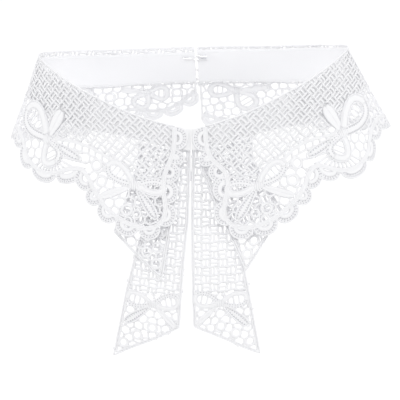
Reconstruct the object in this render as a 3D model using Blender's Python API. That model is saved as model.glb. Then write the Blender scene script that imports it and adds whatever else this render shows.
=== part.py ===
"""A detachable collar of white guipure lace with a plain cloth neck band and four lace tails.

It keeps the hollow form of a worn collar. Metres, +Z up, -Y to the front, +X to the right as seen
from the front. The origin is the middle of the neck opening, level with the top of its sides.
Sizes below are in millimetres and degrees.

Every lace piece is drawn flat, as it is cut, and then laid on the form: a flat point becomes a
distance along the neck edge and a distance below it, and these give the place in space.
"""

import math
import random
from collections import namedtuple

import bmesh
import bpy
import numpy as np
from mathutils import Vector
from mathutils.geometry import delaunay_2d_cdt

MM = 0.001

LACE_WALL = 1.2
BAND_WALL = 1.0
TAIL_WALL = 1.0
SEAM = 0.3

# The band's upper edge lies below the fold of the lace, more so towards the back.
# The band is narrow at the centre front: its depth at distances along the neck edge.
BAND_DEPTHS = ((0.0, 14.0), (35.0, 15.0), (47.0, 16.8), (60.0, 20.5), (75.0, 24.5), (90.0, 26.0),
               (240.0, 26.0))
BAND_DROP_FRONT = 0.8
BAND_DROP_BACK = {"left": 3.0, "right": 1.2}
BAND_DROPS_BETWEEN = (60.0, 130.0)
CORD_WIDTH = 2.8
CORD_RISE = 0.8
INNER_CORD_WIDTH = 2.0
PETAL_RISE = 0.9
LOOP_BAND = 2.4
LOOP_POINTS = 11
# Shares of a loop's full turn, and the largest value of its unscaled half width.
LOOP_STARTS = 0.14
LOOP_WIDENS = 0.24
LOOP_WIDEST = 0.77
KNOT_RADIUS = 2.6

RING_OUTER = 3.7
RING_HOLE = 2.2
RING_RISE = 0.5

LOBE_CHORD = 12.4
LOBE_HEIGHT = 8.2
LOBE_VALLEY = 2.6
LOBE_STEPS = 6
# Where the lobes meet on the first two parts of the border, as shares of their lengths.
JOINTS = (
    (0.0, 0.105, 0.17, 0.262, 0.37, 0.48, 0.585, 0.695, 0.805, 0.89, 1.0),
    (0.0, 0.26, 0.565, 0.81, 1.0),
)

BRIDE_PITCH = 6.3
BRIDE_JITTER = 0.8
BRIDE_WIDTH = 0.9
SMALLEST_GAP = 4.0
GAP_ROOM = 0.35
LEAST_ROOM = 0.2
LEAST_TRIANGLE = 1e-4

# The neck edge of the left and right half from the centre front to the centre back. The lace
# falls away from it towards "heading", turned from the front, at "slope" below the horizontal.
Station = namedtuple("Station", "x y z heading slope_left slope_right")
NECK = (
    Station(0.0, -50.0, -31.0, 0.0, 68.0, 68.0),
    Station(24.0, -46.0, -27.0, 12.0, 68.0, 68.0),
    Station(56.0, -35.0, -16.0, 28.0, 68.0, 67.0),
    Station(82.0, -15.0, -6.0, 58.0, 69.0, 66.0),
    Station(94.5, 4.0, 0.0, 90.0, 69.0, 65.0),
    Station(84.0, 24.0, -4.4, 135.0, 70.0, 67.0),
    Station(52.0, 37.0, -8.0, 163.0, 72.0, 71.0),
    Station(0.0, 42.0, -9.0, 180.0, 72.0, 72.0),
)
NECK_STEP = 1.0
FALL = 60.0

# The walls have close columns of points round the side, and wide ones elsewhere.
SIDE_STARTS, SIDE_ENDS = 78.0, 152.0
CLOSE, WIDE = 5.0, 9.0
ROW_STEP = 10.0
GRID_DEEPEST = 66.0

# The border cord, from the neck down the front edge, round the wing and along the hem. At a
# cusp, a high point of the hem, two lobes meet. The halves differ a little, as hand work does.
Knot = namedtuple("Knot", "along down cusp")
BORDER_FRONT = {
    "left": (Knot(9.7, 1.0, False), Knot(9.7, 8.5, False), Knot(10.0, 15.0, False),
             Knot(11.5, 20.5, False), Knot(13.8, 26.5, False), Knot(15.8, 38.5, False),
             Knot(13.6, 50.5, False), Knot(15.4, 59.5, False), Knot(22.5, 65.0, False),
             Knot(33.5, 65.2, False), Knot(44.0, 61.8, False), Knot(53.4, 54.5, False),
             Knot(58.5, 47.8, False), Knot(63.5, 44.6, True), Knot(70.0, 48.0, False),
             Knot(78.0, 55.0, False), Knot(88.0, 59.0, False), Knot(98.0, 56.0, False),
             Knot(105.0, 49.0, False), Knot(111.5, 45.8, True)),
    "right": (Knot(8.5, 1.0, False), Knot(8.5, 10.5, False), Knot(10.2, 19.5, False),
              Knot(14.5, 25.5, False), Knot(18.8, 31.0, False), Knot(19.8, 37.0, False),
              Knot(17.2, 47.0, False), Knot(15.9, 54.5, False), Knot(17.8, 61.0, False),
              Knot(24.0, 66.0, False), Knot(33.5, 68.0, False), Knot(45.0, 66.5, False),
              Knot(53.5, 63.0, False), Knot(61.0, 56.0, False), Knot(64.6, 50.3, False),
              Knot(68.5, 48.2, True), Knot(74.0, 52.8, False), Knot(80.5, 58.8, False),
              Knot(89.0, 62.2, False), Knot(97.0, 59.0, False), Knot(103.5, 51.0, False),
              Knot(110.5, 46.4, True)),
}
BORDER_SIDE = (
    Knot(118.0, 49.0, False),
    Knot(130.0, 58.5, False),
    Knot(150.0, 62.0, False),
    Knot(168.0, 60.0, False),
    Knot(178.0, 52.5, False),
    Knot(184.0, 48.5, True),
)
BORDER_BACK = {
    "left": (Knot(191.0, 48.5, False), Knot(205.0, 50.0, False), Knot(218.0, 45.0, False),
             Knot(227.5, 35.0, False)),
    "right": (Knot(190.0, 50.5, False), Knot(203.0, 57.5, False), Knot(216.0, 59.0, False),
              Knot(227.5, 53.0, False)),
}

# The cord that parts the trellis above from the bows below, and the whole edge of the trellis.
INNER_CORD = {
    "left": ((45.0, 33.0), (52.0, 31.0), (60.5, 30.3), (71.0, 31.6), (84.0, 36.5)),
    "right": ((50.0, 38.0), (57.5, 33.8), (64.5, 32.7), (73.0, 34.0), (84.0, 37.8)),
}
MOTIF_TOP_FRONT = {
    "left": ((14.5, 30.0), (19.0, 34.0), (30.0, 36.0), (37.0, 31.5), (45.0, 30.5)),
    "right": ((20.0, 33.0), (24.0, 36.5), (34.0, 38.0), (40.5, 33.8), (50.0, 34.0)),
}
MOTIF_TOP = (
    (62.0, 30.8), (74.0, 31.6), (89.0, 33.0), (100.0, 25.0), (114.0, 27.0), (130.0, 30.0),
    (150.0, 31.0), (172.0, 30.0), (205.0, 29.0), (230.0, 29.0),
)

# A petal leaves its bow's knot at an angle, from the way to the side seam towards the hem.
# A leaf's width is given as shares at some shares of its length.
LeafRow = namedtuple("LeafRow", "reach width")
LEAF = (LeafRow(0.16, 0.45), LeafRow(0.4, 0.75), LeafRow(0.65, 1.0), LeafRow(0.86, 0.95),
        LeafRow(1.0, 0.4))
Petal = namedtuple("Petal", "kind angle length width")
Bow = namedtuple("Bow", "along down petals")
WING_INNER = (Petal("loop", -34, 21, 10), Petal("loop", 179, 18.5, 8), Petal("leaf", 22, 23, 5.5),
              Petal("leaf", 128, 24, 6.5))
WING_OUTER = (Petal("loop", -30, 28, 16), Petal("leaf", -106, 20, 9.5), Petal("loop", 123, 18.5, 15),
              Petal("leaf", 170, 29, 6.2))
BOW_SIDE = Bow(148.0, 40.0, (Petal("loop", -12, 22, 12), Petal("leaf", -72, 16, 6),
                             Petal("loop", 78, 17, 14), Petal("loop", 198, 22, 11)))
BOWS_FRONT = {
    "left": (Bow(31.3, 41.7, WING_INNER), Bow(88.3, 38.9, WING_OUTER)),
    "right": (Bow(35.2, 44.9, WING_INNER), Bow(88.3, 39.9, WING_OUTER)),
}
BOW_BACK = {
    "left": Bow(199.0, 35.0, (Petal("loop", 4, 13, 11), Petal("loop", 122, 13.5, 11),
                              Petal("leaf", 192, 18, 5))),
    "right": Bow(207.0, 35.5, (Petal("loop", -6, 17, 11), Petal("loop", 128, 17, 14),
                               Petal("leaf", 188, 22, 5))),
}
RINGS = {
    "both": ((114.5, 37.0), (121.5, 43.5), (176.5, 37.5), (171.5, 46.5)),
    "left": ((54.9, 38.5), (50.8, 46.6), (34.7, 57.5), (217.0, 36.0)),
    "right": ((59.0, 42.1), (54.9, 50.4), (38.7, 60.0), (218.0, 48.5)),
}

# The tails hang from the neck band at the centre front. Their profile leaves the slope of the
# front and turns upright between two depths. Each is cut as a strip with a slanted end.
TAIL_TURNS_AT = (60.0, 130.0)
TAIL_LAST_SLOPE = 88.0
TAIL_DEEPEST = 170.0
TAIL_ROUNDING = 0.0042
TAIL_EDGE = 2.4
TAIL_EDGE_RISE = 0.45
Cut = namedtuple("Cut", "across down")
LONG_LEFT_CUT = (Cut(0.7, -11.4), Cut(-0.2, 0.0), Cut(-1.5, 32.0), Cut(-0.6, 65.0),
                 Cut(-0.7, 99.0), Cut(39.6, 125.4), Cut(33.6, 79.0), Cut(28.5, 50.0),
                 Cut(15.0, 0.0), Cut(12.4, -10.3))
LONG_RIGHT_CUT = (Cut(-0.7, -11.4), Cut(-0.9, 0.0), Cut(-1.5, 36.0), Cut(-1.0, 80.0),
                  Cut(-0.4, 97.7), Cut(40.0, 118.5), Cut(33.0, 74.0), Cut(28.5, 50.0),
                  Cut(15.0, 0.0), Cut(12.4, -11.6))
SHORT_LEFT_CUT = (Cut(2.2, -11.8), Cut(0.0, 0.0), Cut(0.0, 67.5), Cut(34.0, 45.5),
                  Cut(26.4, 1.0), Cut(27.6, -12.5))
SHORT_RIGHT_CUT = (Cut(4.5, -11.1), Cut(0.0, 0.0), Cut(0.0, 67.5), Cut(34.0, 45.5),
                   Cut(30.5, 8.0), Cut(35.6, -5.6))
LONG_PETALS = (Petal("loop", -12, 15, 8.5), Petal("loop", 192, 14.2, 8.5), Petal("leaf", 43, 23, 5.5),
               Petal("leaf", 138, 18.5, 4.5))
LONG_LEFT_BOW = Bow(16.5, 85.5, LONG_PETALS)
LONG_RIGHT_BOW = Bow(15.8, 82.7, LONG_PETALS)
LONG_LEFT_RINGS = ((16.0, 100.9), (25.2, 107.7), (33.3, 114.5))
LONG_RIGHT_RINGS = ((16.2, 97.6), (25.1, 102.8), (33.5, 108.6))
SHORT_RINGS = ((12.0, 52.0), (5.2, 57.4))
Hang = namedtuple("Hang", "side cut across down lean depth rings bow")
TAILS = {
    "tail_long_left": Hang(-1, LONG_LEFT_CUT, 1.0, 24.0, 5.4, 2.9, LONG_LEFT_RINGS, LONG_LEFT_BOW),
    "tail_long_right": Hang(1, LONG_RIGHT_CUT, 0.6, 24.0, -1.0, 2.9, LONG_RIGHT_RINGS,
                            LONG_RIGHT_BOW),
    "tail_short_left": Hang(-1, SHORT_LEFT_CUT, 7.0, 26.6, 10.5, 1.0, SHORT_RINGS, None),
    "tail_short_right": Hang(1, SHORT_RIGHT_CUT, 5.5, 26.6, 22.0, 1.0, SHORT_RINGS, None),
}

# The hook and eye at the centre back, on the inside of the neck band.
WIRE = 0.45
HOOK_DOWN = 7.0
HOOK_LENGTH = 7.0
HOOK_RISES = 2.0
HOOK_AT = 1.2
HOOK_PAST = 1.4
EYE_RADIUS = 1.9
EYE_AT = 1.6
EYE_TURN = 2.4
EYE_LENGTH = 7.0
EYE_LEGS = 1.3


def smooth(knots, values, at):
    """A smooth curve through the values at the knots, read at some places."""
    knots = np.asarray(knots, float)
    values = np.asarray(values, float)
    steps = np.diff(knots)
    runs = np.diff(values) / steps
    slopes = np.empty(len(knots))
    slopes[0], slopes[-1] = runs[0], runs[-1]
    slopes[1:-1] = (runs[:-1] * steps[1:] + runs[1:] * steps[:-1]) / (steps[:-1] + steps[1:])
    i = np.clip(np.searchsorted(knots, at, side="right") - 1, 0, len(knots) - 2)
    h = steps[i]
    t = (np.asarray(at, float) - knots[i]) / h
    return ((2 * t**3 - 3 * t**2 + 1) * values[i] + (t**3 - 2 * t**2 + t) * h * slopes[i]
            + (3 * t**2 - 2 * t**3) * values[i + 1] + (t**3 - t**2) * h * slopes[i + 1])


def lengths(points):
    """The distance along a line of points at each of them."""
    return np.r_[0.0, np.cumsum(np.linalg.norm(np.diff(points, axis=0), axis=1))]


def cross(a, b):
    return a[..., 0] * b[..., 1] - a[..., 1] * b[..., 0]


class Form:
    """One half of the form that the lace lies on, and its flat cut."""

    def __init__(self, half):
        self.sign = 1.0 if half == "right" else -1.0
        rows = np.array([(s.x, s.y, s.z, s.heading, getattr(s, "slope_" + half)) for s in NECK])
        mirrored = rows * [-1, 1, 1, -1, 1]
        behind = mirrored[-2] + [0, 0, 0, 360, 0]
        rows = np.vstack([mirrored[1], rows, behind])
        knots = lengths(rows[:, :3])
        fine = np.linspace(knots[1], knots[-2], 1500)
        curve = np.stack([smooth(knots, rows[:, k], fine) for k in range(5)], axis=1)
        arc = lengths(curve[:, :3])
        self.length = arc[-1]
        self.along = np.linspace(0.0, self.length, int(self.length / NECK_STEP) + 1)
        even = np.stack([np.interp(self.along, arc, curve[:, k]) for k in range(5)], axis=1)
        self.edge = even[:, :3]
        heading, slope = np.radians(even[:, 3]), np.radians(even[:, 4])
        self.fall = np.stack([np.sin(heading) * np.cos(slope), -np.cos(heading) * np.cos(slope),
                              -np.sin(slope)], axis=1)
        self.unroll()

    def unroll(self):
        """Lays the ruled strip flat, one narrow quad after the other."""
        low = self.edge + FALL * self.fall
        top, bottom = [np.zeros(2)], [np.array([0.0, -FALL])]
        for i in range(len(self.along) - 1):
            across = np.linalg.norm(self.edge[i + 1] - self.edge[i])
            slant = np.linalg.norm(self.edge[i + 1] - low[i])
            hem = np.linalg.norm(low[i + 1] - low[i])
            top.append(third_corner(top[-1], bottom[-1], across, slant, 1.0))
            bottom.append(third_corner(top[-1], bottom[-1], FALL, hem, 1.0))
        self.flat_edge = np.array(top)
        self.flat_fall = (np.array(bottom) - self.flat_edge) / FALL

    def flat(self, along, down):
        """The flat point at a distance along the neck edge and below it."""
        edge = [np.interp(along, self.along, self.flat_edge[:, k]) for k in range(2)]
        fall = [np.interp(along, self.along, self.flat_fall[:, k]) for k in range(2)]
        return np.stack([edge[0] + down * fall[0], edge[1] + down * fall[1]], axis=-1)

    def flat_axes(self, along):
        """The flat directions to the side and to the hem at a distance along the neck edge."""
        fall = np.array([np.interp(along, self.along, self.flat_fall[:, k]) for k in range(2)])
        fall /= np.linalg.norm(fall)
        return np.array([-fall[1], fall[0]]), fall

    def measure(self, flat):
        """The distances along the neck edge and below it of flat points."""
        flat = np.asarray(flat, float)
        beyond = cross(self.flat_fall[None], flat[:, None] - self.flat_edge[None])
        i = np.clip((beyond > 0).sum(axis=1) - 1, 0, len(self.along) - 2)
        row = np.arange(len(flat))
        first, second = beyond[row, i], beyond[row, i + 1]
        t = first / (first - second)
        along = self.along[i] + t * (self.along[i + 1] - self.along[i])
        edge = self.flat_edge[i] + t[:, None] * (self.flat_edge[i + 1] - self.flat_edge[i])
        fall = self.flat_fall[i] + t[:, None] * (self.flat_fall[i + 1] - self.flat_fall[i])
        down = ((flat - edge) * fall).sum(axis=1) / (fall**2).sum(axis=1)
        return along, down

    def spot(self, along, down, lift):
        """The place in space, with lift measured outwards from the form."""
        along, down, lift = np.broadcast_arrays(along, down, lift)

        def at(a):
            edge = np.stack([np.interp(a, self.along, self.edge[:, k]) for k in range(3)], axis=-1)
            fall = np.stack([np.interp(a, self.along, self.fall[:, k]) for k in range(3)], axis=-1)
            return edge + down[..., None] * fall, fall

        place, fall = at(along)
        side = at(along + 1.5)[0] - at(along - 1.5)[0]
        out = np.cross(side, -fall)
        out /= np.linalg.norm(out, axis=-1, keepdims=True)
        return (place + lift[..., None] * out) * [self.sign, 1, 1]

    def lay(self, flat, lift):
        """Lays flat points on the form."""
        along, down = self.measure(flat)
        return self.spot(along, down, lift)


def third_corner(a, b, from_a, from_b, side):
    """The corner of a triangle on a given side of the line from b to a."""
    gap = np.linalg.norm(b - a)
    unit = (b - a) / gap
    reach = (from_a**2 - from_b**2 + gap**2) / (2 * gap)
    height = math.sqrt(max(from_a**2 - reach**2, 0.0))
    return a + reach * unit + side * height * np.array([-unit[1], unit[0]])


class TailForm:
    """The surface that a tail hangs on, below the centre front of the neck."""

    def __init__(self, hang):
        self.hang = hang
        self.down = np.arange(0.0, TAIL_DEEPEST, 0.5)
        start, end = TAIL_TURNS_AT
        turn = np.clip((self.down - start) / (end - start), 0, 1)
        turn = turn**2 * (3 - 2 * turn)
        first = NECK[0].slope_left
        self.slope = np.radians(first + (TAIL_LAST_SLOPE - first) * turn)
        step = self.down[1]
        self.y = NECK[0].y - np.cumsum(np.r_[0.0, np.cos(self.slope[1:])]) * step
        self.z = NECK[0].z - np.cumsum(np.r_[0.0, np.sin(self.slope[1:])]) * step

    def lay(self, flat, lift):
        """Places points of the cut, given across and down, on the hanging surface."""
        lean = math.radians(self.hang.lean)
        across = self.hang.across + flat[:, 0] * math.cos(lean) - flat[:, 1] * math.sin(lean)
        down = self.hang.down - flat[:, 0] * math.sin(lean) - flat[:, 1] * math.cos(lean)
        out = lift - self.hang.depth - TAIL_WALL
        slope = np.interp(down, self.down, self.slope)
        y = np.interp(down, self.down, self.y) + TAIL_ROUNDING * across**2 - out * np.sin(slope)
        z = np.interp(down, self.down, self.z) + out * np.cos(slope)
        return np.stack([across * self.hang.side, y, z], axis=1)


class Stroke:
    """A raised line of the lace: points, its half width at each, and how high it stands."""

    def __init__(self, points, half, rise, closed=False):
        self.points = np.asarray(points, float)
        self.half = np.broadcast_to(np.asarray(half, float), len(self.points)).copy()
        self.rise = rise
        self.closed = closed

    def near(self, places):
        """The distance of each place from the line, and the half width there."""
        line, half = self.points, self.half
        if self.closed:
            line, half = np.vstack([line, line[:1]]), np.r_[half, half[:1]]
        start, run = line[:-1], np.diff(line, axis=0)
        t = ((places[:, None] - start) * run).sum(axis=2) / (run**2).sum(axis=1)
        t = np.clip(t, 0, 1)
        away = np.linalg.norm(places[:, None] - start - t[..., None] * run, axis=2)
        best = away.argmin(axis=1)
        row = np.arange(len(places))
        t = t[row, best]
        return away[row, best], half[best] * (1 - t) + half[best + 1] * t

    def height(self, places):
        away, half = self.near(places)
        return self.rise * np.sqrt(np.clip(1 - (away / half) ** 2, 0, 1))

    def sides(self):
        """The lines along both edges of the stroke."""
        line = self.points
        if self.closed:
            run = np.roll(line, -1, axis=0) - np.roll(line, 1, axis=0)
        else:
            run = np.gradient(line, axis=0)
        run /= np.linalg.norm(run, axis=1, keepdims=True)
        aside = np.stack([-run[:, 1], run[:, 0]], axis=1) * self.half[:, None]
        return line + aside, line - aside


def petal_stroke(origin, to_side, to_hem, petal):
    """A loop is a band round a drop shape, a leaf is a solid blade."""
    angle = math.radians(petal.angle)
    ahead = math.cos(angle) * to_side + math.sin(angle) * to_hem
    across = np.array([-ahead[1], ahead[0]])
    if petal.kind == "loop":
        turn = np.r_[LOOP_STARTS, np.linspace(LOOP_WIDENS, 1 - LOOP_WIDENS, LOOP_POINTS)[1:-1],
                     1 - LOOP_STARTS] * 2 * math.pi
        reach = petal.length * (1 - np.cos(turn)) / 2
        aside = petal.width / 2 * np.sin(turn) * np.sin(turn / 2) / LOOP_WIDEST
        half = LOOP_BAND / 2
    else:
        reach, share = np.array(LEAF).T
        reach = reach * petal.length
        aside = np.zeros(len(LEAF))
        half = petal.width / 2 * share
    points = origin + reach[:, None] * ahead + aside[:, None] * across
    return Stroke(points, half, PETAL_RISE)


def ring_points(centre, radius, count, turn=0.0):
    angle = turn + np.arange(count) / count * 2 * math.pi
    return centre + radius * np.stack([np.cos(angle), np.sin(angle)], axis=1)


def bow_strokes(bow, origin, to_side, to_hem):
    strokes = [petal_stroke(origin, to_side, to_hem, petal) for petal in bow.petals]
    ends = np.stack([origin - 0.5 * to_side, origin + 0.5 * to_side])
    return strokes + [Stroke(ends, KNOT_RADIUS, PETAL_RISE * 1.2)]


def even_points(line, step, ends=True):
    """Points at nearly equal steps along a line."""
    at = lengths(line)
    count = max(2, int(round(at[-1] / step)) + 1)
    places = np.linspace(0, at[-1], count)
    if not ends:
        places = places[1:-1]
    return np.stack([np.interp(places, at, line[:, k]) for k in range(2)], axis=1)


def inside(polygon, places):
    """Whether each place lies within a closed outline."""
    x, y = places[:, 0][:, None], places[:, 1][:, None]
    ax, ay = polygon[:, 0], polygon[:, 1]
    bx, by = np.roll(ax, -1), np.roll(ay, -1)
    spans = (ay > y) != (by > y)
    with np.errstate(divide="ignore", invalid="ignore"):
        meets = x < (bx - ax) * (y - ay) / (by - ay) + ax
    return (spans & meets).sum(axis=1) % 2 == 1


def outline_distance(polygon, places):
    return Stroke(polygon, 0.0, 0.0, closed=True).near(places)[0]


def border_line(form, half):
    """The smooth flat course of the border cord, in parts that end at its cusps."""
    knots = BORDER_FRONT[half] + BORDER_SIDE + BORDER_BACK[half]
    flat = form.flat(np.array([k.along for k in knots]), np.array([k.down for k in knots]))
    at = lengths(flat)
    breaks = [0] + [i for i, k in enumerate(knots) if k.cusp] + [len(knots) - 1]
    parts = []
    for first, last in zip(breaks, breaks[1:]):
        steps = np.linspace(at[first], at[last], int((at[last] - at[first]) / 2.0) + 2)
        parts.append(np.stack([smooth(at, flat[:, k], steps) for k in range(2)], axis=1))
    return parts


def hem_lobes(parts):
    """The scalloped hem: round lobes outside the border cord, on each part of it."""
    points = []
    for number, part in enumerate(parts):
        at = lengths(part)
        count = max(1, int(round(at[-1] / LOBE_CHORD)))
        joints = JOINTS[number] if number < len(JOINTS) else np.linspace(0.0, 1.0, count + 1)
        for joint, following in zip(joints, joints[1:]):
            ends = [at[-1] * joint, at[-1] * following]
            a, b = (np.array([np.interp(e, at, part[:, k]) for k in range(2)]) for e in ends)
            ahead = (b - a) / np.linalg.norm(b - a)
            out = np.array([ahead[1], -ahead[0]])
            for step in range(LOBE_STEPS):
                turn = math.pi * step / LOBE_STEPS
                along = (1 - math.cos(turn)) / 2
                away = LOBE_VALLEY + (LOBE_HEIGHT - LOBE_VALLEY) * math.sin(turn)
                points.append(a + (b - a) * along + out * away)
    points.append(b + out * LOBE_VALLEY)
    return np.array(points)


def without_crowding(line, least):
    """The line with points dropped that crowd the one before."""
    kept = [line[0]]
    for point in line[1:]:
        if np.linalg.norm(point - kept[-1]) >= least:
            kept.append(point)
    return np.array(kept)


def unfolded(line):
    """The line with any small loop that it makes at a cusp cut off."""
    points = [np.array(p) for p in line]
    i = 0
    while i < len(points) - 3:
        for j in range(min(i + 9, len(points) - 2), i + 1, -1):
            a, b, c, d = points[i], points[i + 1], points[j], points[j + 1]
            denominator = cross(b - a, d - c)
            if abs(denominator) < 1e-9:
                continue
            t = cross(c - a, d - c) / denominator
            u = cross(c - a, b - a) / denominator
            if 0 < t < 1 and 0 < u < 1:
                points[i + 1:j + 1] = [a + t * (b - a)]
                break
        i += 1
    return np.array(points)


def bride_gaps(zone, strokes, loops):
    """The gaps of the bride ground: the cells of an uneven honeycomb, kept off the strokes and
    out of the loops."""
    chance = random.Random(5)
    low, high = zone.min(axis=0), zone.max(axis=0)
    centres = []
    row_step = BRIDE_PITCH * math.sqrt(0.75)
    rows = int((high[1] - low[1]) / row_step) + 2
    columns = int((high[0] - low[0]) / BRIDE_PITCH) + 2
    for row in range(rows):
        for column in range(columns):
            x = low[0] + (column + 0.5 * (row % 2)) * BRIDE_PITCH
            y = low[1] + row * row_step
            centres.append((x + chance.uniform(-BRIDE_JITTER, BRIDE_JITTER),
                            y + chance.uniform(-BRIDE_JITTER, BRIDE_JITTER)))
    centres = np.array(centres)

    def clear(places):
        room = np.full(len(places), 1e9)
        for stroke in strokes:
            away, half = stroke.near(places)
            room = np.minimum(room, away - half)
        room = np.minimum(room, outline_distance(zone, places))
        free = inside(zone, places)
        for loop in loops:
            free &= ~inside(loop, places)
        return np.where(free, room, -1.0)

    gaps = []
    for centre in centres[clear(centres) > SMALLEST_GAP * 0.35]:
        away = np.linalg.norm(centres - centre, axis=1)
        corners = ring_points(centre, BRIDE_PITCH, 12)
        for other in centres[(away > 0.1) & (away < 2.2 * BRIDE_PITCH)]:
            gap = np.linalg.norm(other - centre)
            corners = clipped(corners, centre, (other - centre) / gap, gap / 2 - BRIDE_WIDTH / 2)
        corners = without_crowding(corners, 0.9)
        for _ in range(14):
            tight = clear(corners) < GAP_ROOM
            corners = np.where(tight[:, None], centre + (corners - centre) * 0.93, corners)
        middles = (corners + np.roll(corners, -1, axis=0)) / 2
        if len(corners) < 4 or (clear(np.vstack([corners, middles])) < LEAST_ROOM).any():
            continue
        area = abs(cross(corners, np.roll(corners, -1, axis=0)).sum()) / 2
        if area > SMALLEST_GAP**2 * 0.78:
            gaps.append(corners)
    return gaps


def clipped(corners, centre, toward, reach):
    """A convex outline cut by the line at a reach from the centre."""
    past = (corners - centre) @ toward - reach
    kept = []
    for i in range(len(corners)):
        j = (i + 1) % len(corners)
        if past[i] <= 0:
            kept.append(corners[i])
        if past[i] * past[j] < 0:
            kept.append(corners[i] + (corners[j] - corners[i]) * past[i] / (past[i] - past[j]))
    return np.array(kept)


def triangles(outline, holes, lines, points):
    """Triangles over an outline less its holes. The outline's and holes' points come first."""
    loops = [outline] + holes
    places, edges = [], []
    for loop in loops:
        first = len(places)
        places += [tuple(p) for p in loop]
        edges += [(first + i, first + (i + 1) % len(loop)) for i in range(len(loop))]
    for line in lines:
        first = len(places)
        places += [tuple(p) for p in line]
        edges += [(first + i, first + i + 1) for i in range(len(line) - 1)]
    places += [tuple(p) for p in points]
    found = delaunay_2d_cdt([Vector(p) for p in places], edges, [], 0, 1e-3, True)
    verts = np.array([tuple(v) for v in found[0]])
    border = sum(len(loop) for loop in loops)
    known = {}
    for new, olds in enumerate(found[3]):
        for old in olds:
            if old < border:
                known[old] = new
    faces = np.array([tuple(f) for f in found[2]])
    corners = verts[faces]
    middles = corners.mean(axis=1)
    area = cross(corners[:, 1] - corners[:, 0], corners[:, 2] - corners[:, 0]) / 2
    keep = inside(outline, middles) & (np.abs(area) > LEAST_TRIANGLE)
    for hole in holes:
        keep &= ~inside(hole, middles)
    return verts, faces[keep], known


def wall(name, outline, holes, lines, points, inner_points, outer_lift, inner_lift, lay):
    """A closed wall: an outer skin with relief, a plain inner skin and the edges between."""
    mesh = bmesh.new()
    skins = []
    for skin_lines, skin_points, lift in ((lines, points, outer_lift),
                                          ([], inner_points, inner_lift)):
        flat, faces, known = triangles(outline, holes, skin_lines, skin_points)
        used = np.unique(faces)
        placed = lay(flat, lift(flat)) * MM
        verts = {i: mesh.verts.new(placed[i]) for i in used}
        for face in faces:
            mesh.faces.new([verts[i] for i in face])
        skins.append({old: verts[new] for old, new in known.items() if new in verts})
    first = 0
    for loop in [outline] + holes:
        for i in range(len(loop)):
            a, b = first + i, first + (i + 1) % len(loop)
            mesh.faces.new((skins[0][a], skins[0][b], skins[1][b], skins[1][a]))
        first += len(loop)
    return finished(name, mesh)


def finished(name, mesh, smooth_angle=math.radians(50)):
    """Turns a closed bmesh into an object with its faces pointing out."""
    bmesh.ops.recalc_face_normals(mesh, faces=mesh.faces)
    data = bpy.data.meshes.new(name)
    mesh.to_mesh(data)
    mesh.free()
    if sum(p.area * p.center.dot(p.normal) for p in data.polygons) < 0:
        data.flip_normals()
    data.shade_smooth()
    data.set_sharp_from_angle(angle=smooth_angle)
    obj = bpy.data.objects.new(name, data)
    bpy.context.scene.collection.objects.link(obj)
    return obj


def form_grid(form, outline, first, last, low, high, room):
    """Points for the curve of the form: close together round the corners, wide elsewhere."""
    points = []
    along = first
    while along < last:
        for down in np.arange(low, high, ROW_STEP):
            points.append(form.flat(along, down))
        along += CLOSE if SIDE_STARTS < along < SIDE_ENDS else WIDE
    points = np.array(points)
    points = points[inside(outline, points)]
    return points[outline_distance(outline, points) > room]


def lace_half(half):
    """One half of the lace, from the centre front round the side to the centre back."""
    form = Form(half)
    parts = border_line(form, half)
    border = np.vstack(parts)
    hem = unfolded(hem_lobes(parts))
    end = form.length - SEAM / 2
    last_down = form.measure(hem[-1:])[1][0]
    back = form.flat(np.full(4, end), np.linspace(last_down, 0.0, 4))
    first = BORDER_FRONT[half][0].along
    neck = form.flat(np.r_[np.arange(end, SIDE_ENDS, -WIDE)[1:],
                           np.arange(SIDE_ENDS, SIDE_STARTS, -CLOSE),
                           np.arange(SIDE_STARTS, first, -WIDE)], 0.0)
    outline = without_crowding(np.vstack([hem, back, neck]), 0.8)

    strokes = [Stroke(even_points(border, 4.2), CORD_WIDTH / 2, CORD_RISE)]
    inner = form.flat(*np.array(INNER_CORD[half]).T)
    strokes.append(Stroke(even_points(inner, 5.0), INNER_CORD_WIDTH / 2, CORD_RISE * 0.7))
    loops = []
    for bow in (*BOWS_FRONT[half], BOW_SIDE, BOW_BACK[half]):
        to_side, to_hem = form.flat_axes(bow.along)
        petals = bow_strokes(bow, form.flat(bow.along, bow.down), to_side, to_hem)
        strokes += petals
        loops += [s.points for s, petal in zip(petals, bow.petals) if petal.kind == "loop"]
    rings = [form.flat(*ring) for ring in RINGS["both"] + RINGS[half]]
    ring_strokes = [Stroke(ring_points(c, (RING_OUTER + RING_HOLE) / 2, 8),
                           (RING_OUTER - RING_HOLE) / 2, RING_RISE, closed=True) for c in rings]

    top = form.flat(*np.array(MOTIF_TOP_FRONT[half] + MOTIF_TOP).T)
    zone = np.vstack([even_points(border, 3.0), even_points(top, 6.0)[::-1]])
    gaps = bride_gaps(zone, strokes + ring_strokes, loops)
    holes = gaps + [ring_points(c, RING_HOLE, 8) for c in rings]

    lines = []
    for stroke in strokes:
        lines += [stroke.points, *stroke.sides()]
    lines += [ring_points(c, RING_OUTER, 8)[[0, 1, 2, 3, 4, 5, 6, 7, 0]] for c in rings]
    grid = form_grid(form, outline, 8.0, end - 4.0, 8.0, GRID_DEEPEST, 2.0)
    for hole in holes:
        grid = grid[~inside(hole, grid)]
        grid = grid[outline_distance(hole, grid) > 1.2]
    open_grid = grid
    for stroke in strokes:
        away, width = stroke.near(open_grid)
        open_grid = open_grid[away > width + 1.0]

    def relief(flat):
        rise = np.zeros(len(flat))
        for stroke in strokes + ring_strokes:
            rise = np.maximum(rise, stroke.height(flat))
        return LACE_WALL + rise

    def plain(flat):
        return np.zeros(len(flat))

    return wall("lace_" + half, outline, holes, lines, open_grid, grid, relief, plain, form.lay)


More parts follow.
